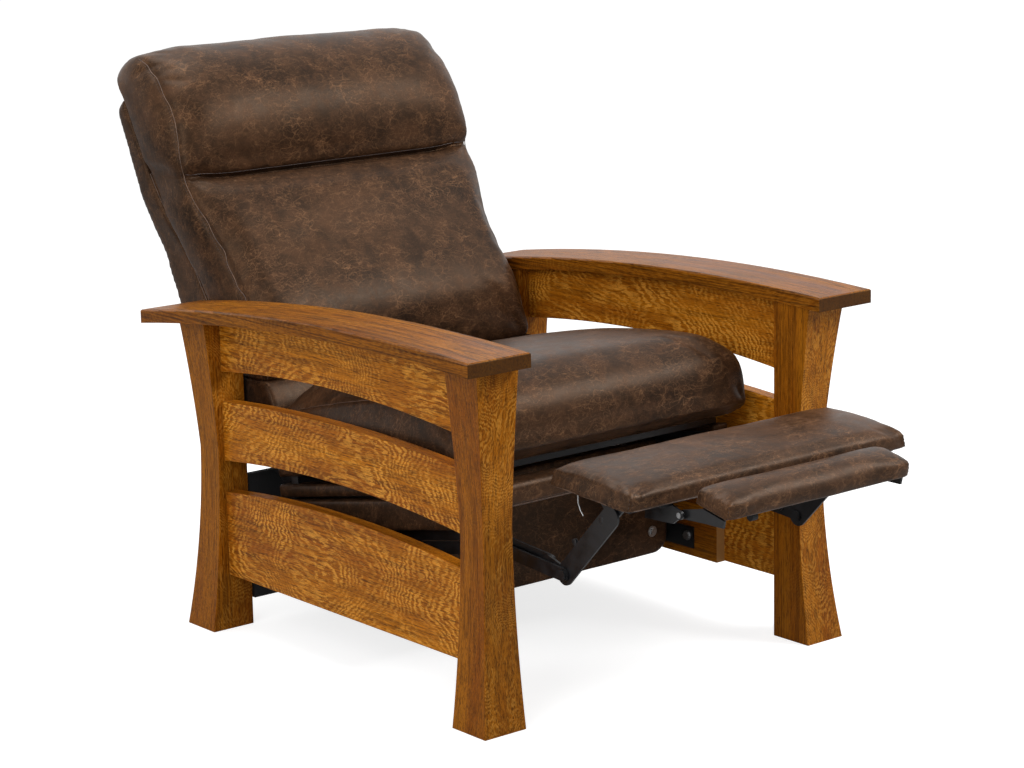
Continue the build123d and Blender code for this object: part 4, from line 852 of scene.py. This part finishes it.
def drawn_in(rows, depth, width):
    """Draws a cover in along rows of stitching."""
    tree = kdtree.KDTree(sum(map(len, rows)))
    for index, place in enumerate(place for row in rows for place in row):
        tree.insert(place, index)
    tree.balance()

    def change(place, normal):
        away = tree.find(place)[2]
        return normal * (-depth * math.exp(-(away / width) ** 2))
    return change


def padded_shell(place, normal):
    """Lets the padding stand out behind the shell, and at its sides above the arms."""
    rise = min(max((place.z - 0.50) / 0.10, 0.0), 1.0)
    above = min(max((place.z - 0.64) / 0.06, 0.0), 1.0)
    behind = max(-normal.dot(BACK_FRONT), 0.0)
    at_sides, at_rear = 0.005, 0.009
    return Vector((normal.x * at_sides * above, 0, 0)) - BACK_FRONT * (at_rear * rise * behind)


def plump(out, amount, upper=0.0, height=9.0):
    """Moves a cover out by one amount, or by another above a height, except on the side that rests."""
    def change(place, normal):
        lean = min(max((normal.dot(out) + 0.8) / 0.5, 0.0), 1.0)
        share = min(max((place.z - height) / 0.02, 0.0), 1.0)
        return normal * (lean * (amount + (upper - amount) * share))
    return change


def between_arms(half, top):
    """Presses a cover flat against the inner faces of the frame below a height."""
    def change(place, normal):
        over = abs(place.x) - half
        if over <= 0 or place.z > top + 0.03:
            return Vector()
        share = min((top + 0.03 - place.z) / 0.06, 1.0)
        return Vector((-math.copysign(over * share, place.x), 0, 0))
    return change


class ARMCHAIR_OT_cushions(bpy.types.Operator):
    """Seat cushion, and the back's one cover over its lower cushion and headrest roll"""
    bl_idname = "armchair.cushions"
    bl_label = "Cushions"

    def execute(self, context):
        seat = cushion(["seat_cushion"], "seat_cushion_cover", 0.007, lambda v: v.normal.dot(SEAT_UP) < -0.6,
                       SEAT_UP)
        pressed(seat, plump(SEAT_UP, SEAT_FILL))
        pressed(seat, between_arms(SEAT_ROOM, ARM_HEIGHT))
        back = cushion(["lumbar_cushion", "headrest_cushion"], "back_cover", 0.0079,
                       lambda v: v.normal.dot(BACK_FRONT) < -0.5 or abs(v.co.z - CREASE_HEIGHT) < 0.005,
                       BACK_FRONT, widens=True)
        pressed(back, plump(BACK_FRONT, BACK_FILL, HEADREST_FILL, CREASE_HEIGHT))
        pressed(back, between_arms(BACK_ROOM, ARM_HEIGHT))
        pressed(back, crease_pull)
        # A dark thread-coloured roll laid in the fold: partly the crease's seam, partly painted shadow that
        # darkens the crease.
        start = joint_y(CREASE_HEIGHT * 1000) - 100 / math.cos(BACK_LEAN)
        fold = stepped([fit(-318, start, 798), fit(318, start, 798)])
        seam("crease_seam_and_painted_shadow", [on_skin(back, fold)], "backrest", "thread", radius=0.0011)
        paths = [stepped([fit(side * (back_half(z) + 2), y, z) for y, z in BACK_SEAM]) for side in (-1, 1)]
        pressed(back, drawn_in([on_skin(back, path) for path in paths], BACK_DRAWN, DRAWN_REACH))
        seam("back_side_seams", [on_skin(back, path) for path in paths], "backrest")
        inner = [on_skin(back, stepped([fit(side * (back_half(z) + 2), y + 6, z) for y, z in BACK_SEAM]))
                 for side in (-1, 1)]
        stitches("back_side_stitches", inner, "backrest")
        seat_front, seat_length, seat_half, seat_side = -296, 554, 304, 126
        rows = []
        for side in (-1, 1):
            ends = []
            for along, up in SEAT_SEAM:
                y = seat_front + along * seat_length
                ends.append(fit(side * seat_half, y, seat_base(y) + up * seat_side + 4))
            rows.append(stepped(ends))
        pressed(seat, drawn_in([on_skin(seat, row) for row in rows], SEAT_DRAWN, DRAWN_REACH))
        seam("seat_side_seams", [on_skin(seat, row) for row in rows], "seat")
        return {"FINISHED"}


class ARMCHAIR_OT_covered_boards(bpy.types.Operator):
    """Back shell, seat rails, skirts, front roll and hanging board in leather over padding"""
    bl_idname = "armchair.covered_boards"
    bl_label = "Covered boards"

    def execute(self, context):
        shell = covered("back_shell", 0.006, 6, widens=True)
        pressed(shell, padded_shell)
        joint = [stepped([fit(side * (back_half(z) - 1.0), joint_y(z), z) for z in range(470, 791, 20)])
                 for side in (-1, 1)]
        seam("shell_joint_seams", joint, "backrest", radius=0.0011)
        tuck_radius, tuck_inset = 0.0055, 0.0058
        tuck = [[Vector((place.x - math.copysign(tuck_inset, place.x), place.y, place.z)) for place in row]
                for row in joint]
        seam("shell_joint_tucks", tuck, "backrest", "leather", radius=tuck_radius)
        covered("fascia", 0.004)
        front = covered("seat_front_rail", 0.0045, 5)
        rows = [on_skin(front, stepped([fit(-300, -284, 317), fit(300, -284, 317)]))]
        seam("front_roll_seam", rows, "seat")
        rows = [on_skin(front, stepped([fit(-298, -285, 323), fit(298, -285, 323)]))]
        stitches("front_roll_stitches", rows, "seat")
        for side in SIDES:
            covered(f"seat_rail_{side}", 0.004)
            covered(f"seat_skirt_{side}", 0.004)
        return {"FINISHED"}


class ARMCHAIR_OT_footrest(bpy.types.Operator):
    """Footrest pad and flip-out pad with boxed leather covers, sewn corners and turned lower edges"""
    bl_idname = "armchair.footrest"
    bl_label = "Footrest pads"

    def execute(self, context):
        sizes = context.scene.leather_sizes
        for node, voxel in (("footrest_pad", 0.0045), ("flip_pad", 0.0035)):
            tilt, rear_y, rear_z, length, half, edge = PADS[node]
            lean = math.radians(tilt)
            up = Vector((0, -math.sin(lean), math.cos(lean)))
            obj = cushion([node], f"{node}_cover", voxel, lambda v: v.normal.dot(up) < -0.5, up,
                          sizes.pad_shrink, sizes.pad_swell, pressure=15.0)
            pressed(obj, plump(up, PAD_FILL))

            def place(x, forward, rise):
                return fit(x, rear_y - forward * math.cos(lean) - rise * math.sin(lean),
                           rear_z - forward * math.sin(lean) + rise * math.cos(lean))

            corners = [(-half, 0), (half, 0), (half, length), (-half, length)]
            loop = on_skin(obj, stepped([place(x, f, 1.5) for x, f in corners], closed=True))
            seam(f"{node}_lower_edge", [loop], BODY_OF[node], closed=True, radius=0.0009)
            posts = [on_skin(obj, stepped([place(x, f, 2), place(x, f, edge - 2)], 0.003), 0.0001)
                     for x, f in corners]
            stitches(f"{node}_corner_stitches", posts, BODY_OF[node])
        return {"FINISHED"}


class ARMCHAIR_OT_small_metal(bpy.types.Operator):
    """Rivets of the broad links and the wire springs under the footrest"""
    bl_idname = "armchair.small_metal"
    bl_label = "Rivets and wire"

    def execute(self, context):
        sizes = context.scene.rivet_sizes
        mesh = bpy.data.meshes.new("rivet_places")
        places = [fit(side * x, y, z) for side in (-1, 1) for x in (260, 256)
                  for y, z in ((-552, 358), (-486, 310))]
        mesh.from_pydata(places, [], [])
        heads = grown(link("rivet_places", mesh), rivet_tree(),
                      {"Head radius": sizes.radius, "Head height": sizes.height, "Metal": finish("steel")},
                      "wide_link_rivets")
        declared(heads, "steel", body="wide_links")
        rows = [[fit(side * x, y, z) for x, y, z in ((246, -500, 401), (246, -484, 396), (246, -480, 384),
                                                      (246, -481, 369), (246, -487, 358), (246, -493, 351))]
                for side in (-1, 1)]
        wires = seam("footrest_wires", rows, "footrest", "zinc", radius=0.0012)
        return {"FINISHED"}


class ARMCHAIR_OT_stage(bpy.types.Operator):
    """Pale floor, soft lamps and the camera"""
    bl_idname = "armchair.stage"
    bl_label = "Stage"

    def execute(self, context):
        scene = context.scene
        scene.view_settings.view_transform = "Standard"
        camera = bpy.data.cameras.new("camera")
        camera.lens = 97.81
        camera.sensor_width = 36.0
        camera.clip_end = 60
        eye = bpy.data.objects.new("camera", camera)
        scene.collection.objects.link(eye)
        turn, rise, roll = (math.radians(v) for v in (-39.02, 12.37, -1.17))
        back = Vector((math.sin(turn) * math.cos(rise), -math.cos(turn) * math.cos(rise), math.sin(rise)))
        right = Vector((math.cos(turn), math.sin(turn), 0))
        up = back.cross(right)
        level_x = right * math.cos(roll) + up * math.sin(roll)
        level_y = up * math.cos(roll) - right * math.sin(roll)
        matrix = Matrix((level_x, level_y, back)).transposed().to_4x4()
        matrix.translation = Vector((-2.97686, -3.69257 + SHIFT, 1.48667))
        eye.matrix_world = matrix
        scene.camera = eye
        mesh = bpy.data.meshes.new("floor")
        reach = 30.0
        corners = [(-reach, -reach, 0), (reach, -reach, 0), (reach, reach, 0), (-reach, reach, 0)]
        mesh.from_pydata(corners, [], [(0, 1, 2, 3)])
        floor = link("floor", mesh)
        made, tree = material("white_floor")
        plain = add(tree, "ShaderNodeBsdfDiffuse", {"Color": (0.5, 0.5, 0.5, 1)})
        glow = add(tree, "ShaderNodeEmission", {"Color": (1, 1, 1, 1), "Strength": 0.78})
        both = add(tree, "ShaderNodeAddShader", {0: plain.outputs[0], 1: glow.outputs[0]})
        seen = add(tree, "ShaderNodeLightPath").outputs["Is Camera Ray"]
        mix = add(tree, "ShaderNodeMixShader", {0: seen, 1: plain.outputs[0], 2: both.outputs[0]})
        finish_material(tree, mix)
        floor.data.materials.append(made)
        world = bpy.data.worlds.new("studio")
        world.use_nodes = True
        tree = world.node_tree
        tree.nodes.clear()
        path = add(tree, "ShaderNodeLightPath")
        seen = path.outputs["Is Camera Ray"]
        for ray in ("Is Glossy Ray", "Is Transmission Ray"):
            either = add(tree, "ShaderNodeMath", {0: seen, 1: path.outputs[ray]}, operation="MAXIMUM")
            seen = either.outputs[0]
        lit = add(tree, "ShaderNodeBackground", {"Color": (1, 1, 1, 1), "Strength": 0.5})
        white = add(tree, "ShaderNodeBackground", {"Color": (1, 1, 1, 1), "Strength": 1.0})
        both = add(tree, "ShaderNodeMixShader", {0: seen, 1: lit.outputs[0], 2: white.outputs[0]})
        add(tree, "ShaderNodeOutputWorld", {"Surface": both.outputs[0]})
        scene.world = world
        # name, place in metres, size in metres and power in watts
        lamps = (("key", (2.2, -2.6, 3.0), 1.7, 115), ("fill", (-3.4, -1.2, 2.2), 2.4, 55),
                 ("top", (-0.3, 0.8, 3.6), 2.0, 60))
        for name, place, size, power in lamps:
            data = bpy.data.lights.new(name, "AREA")
            data.shape = "SQUARE"
            data.size = size
            data.energy = power
            lamp = bpy.data.objects.new(name, data)
            lamp.location = place
            lamp.rotation_euler = (Vector(place) - Vector((0, 0, 0.5))).to_track_quat("Z", "Y").to_euler()
            scene.collection.objects.link(lamp)
        return {"FINISHED"}


class ARMCHAIR_PT_panel(bpy.types.Panel):
    bl_idname = "ARMCHAIR_PT_panel"
    bl_label = "Armchair"
    bl_space_type = "VIEW_3D"
    bl_region_type = "UI"
    bl_category = "Armchair"

    def draw(self, context):
        scene = context.scene
        for group in (scene.oak_sizes, scene.leather_sizes, scene.sewing_sizes, scene.rivet_sizes):
            for key in group.bl_rna.properties.keys():
                if key not in ("rna_type", "name"):
                    self.layout.prop(group, key)
        for operator in STEPS:
            self.layout.operator(operator.bl_idname)


STEPS = (ARMCHAIR_OT_stage, ARMCHAIR_OT_mechanism, ARMCHAIR_OT_oak_frame, ARMCHAIR_OT_cushions,
         ARMCHAIR_OT_covered_boards, ARMCHAIR_OT_footrest, ARMCHAIR_OT_small_metal)
GROUPS = {"oak_sizes": OakSizes, "leather_sizes": LeatherSizes, "sewing_sizes": SewingSizes,
          "rivet_sizes": RivetSizes}
CLASSES = (*GROUPS.values(), *STEPS, ARMCHAIR_PT_panel)


def register():
    for cls in CLASSES:
        bpy.utils.register_class(cls)
    for key, group in GROUPS.items():
        setattr(bpy.types.Scene, key, PointerProperty(type=group))


def unregister():
    for key in GROUPS:
        delattr(bpy.types.Scene, key)
    for cls in reversed(CLASSES):
        bpy.utils.unregister_class(cls)


def main():
    register()
    for step in STEPS:
        group, name = step.bl_idname.split(".")
        getattr(getattr(bpy.ops, group), name)()


if __name__ == "__main__":
    main()
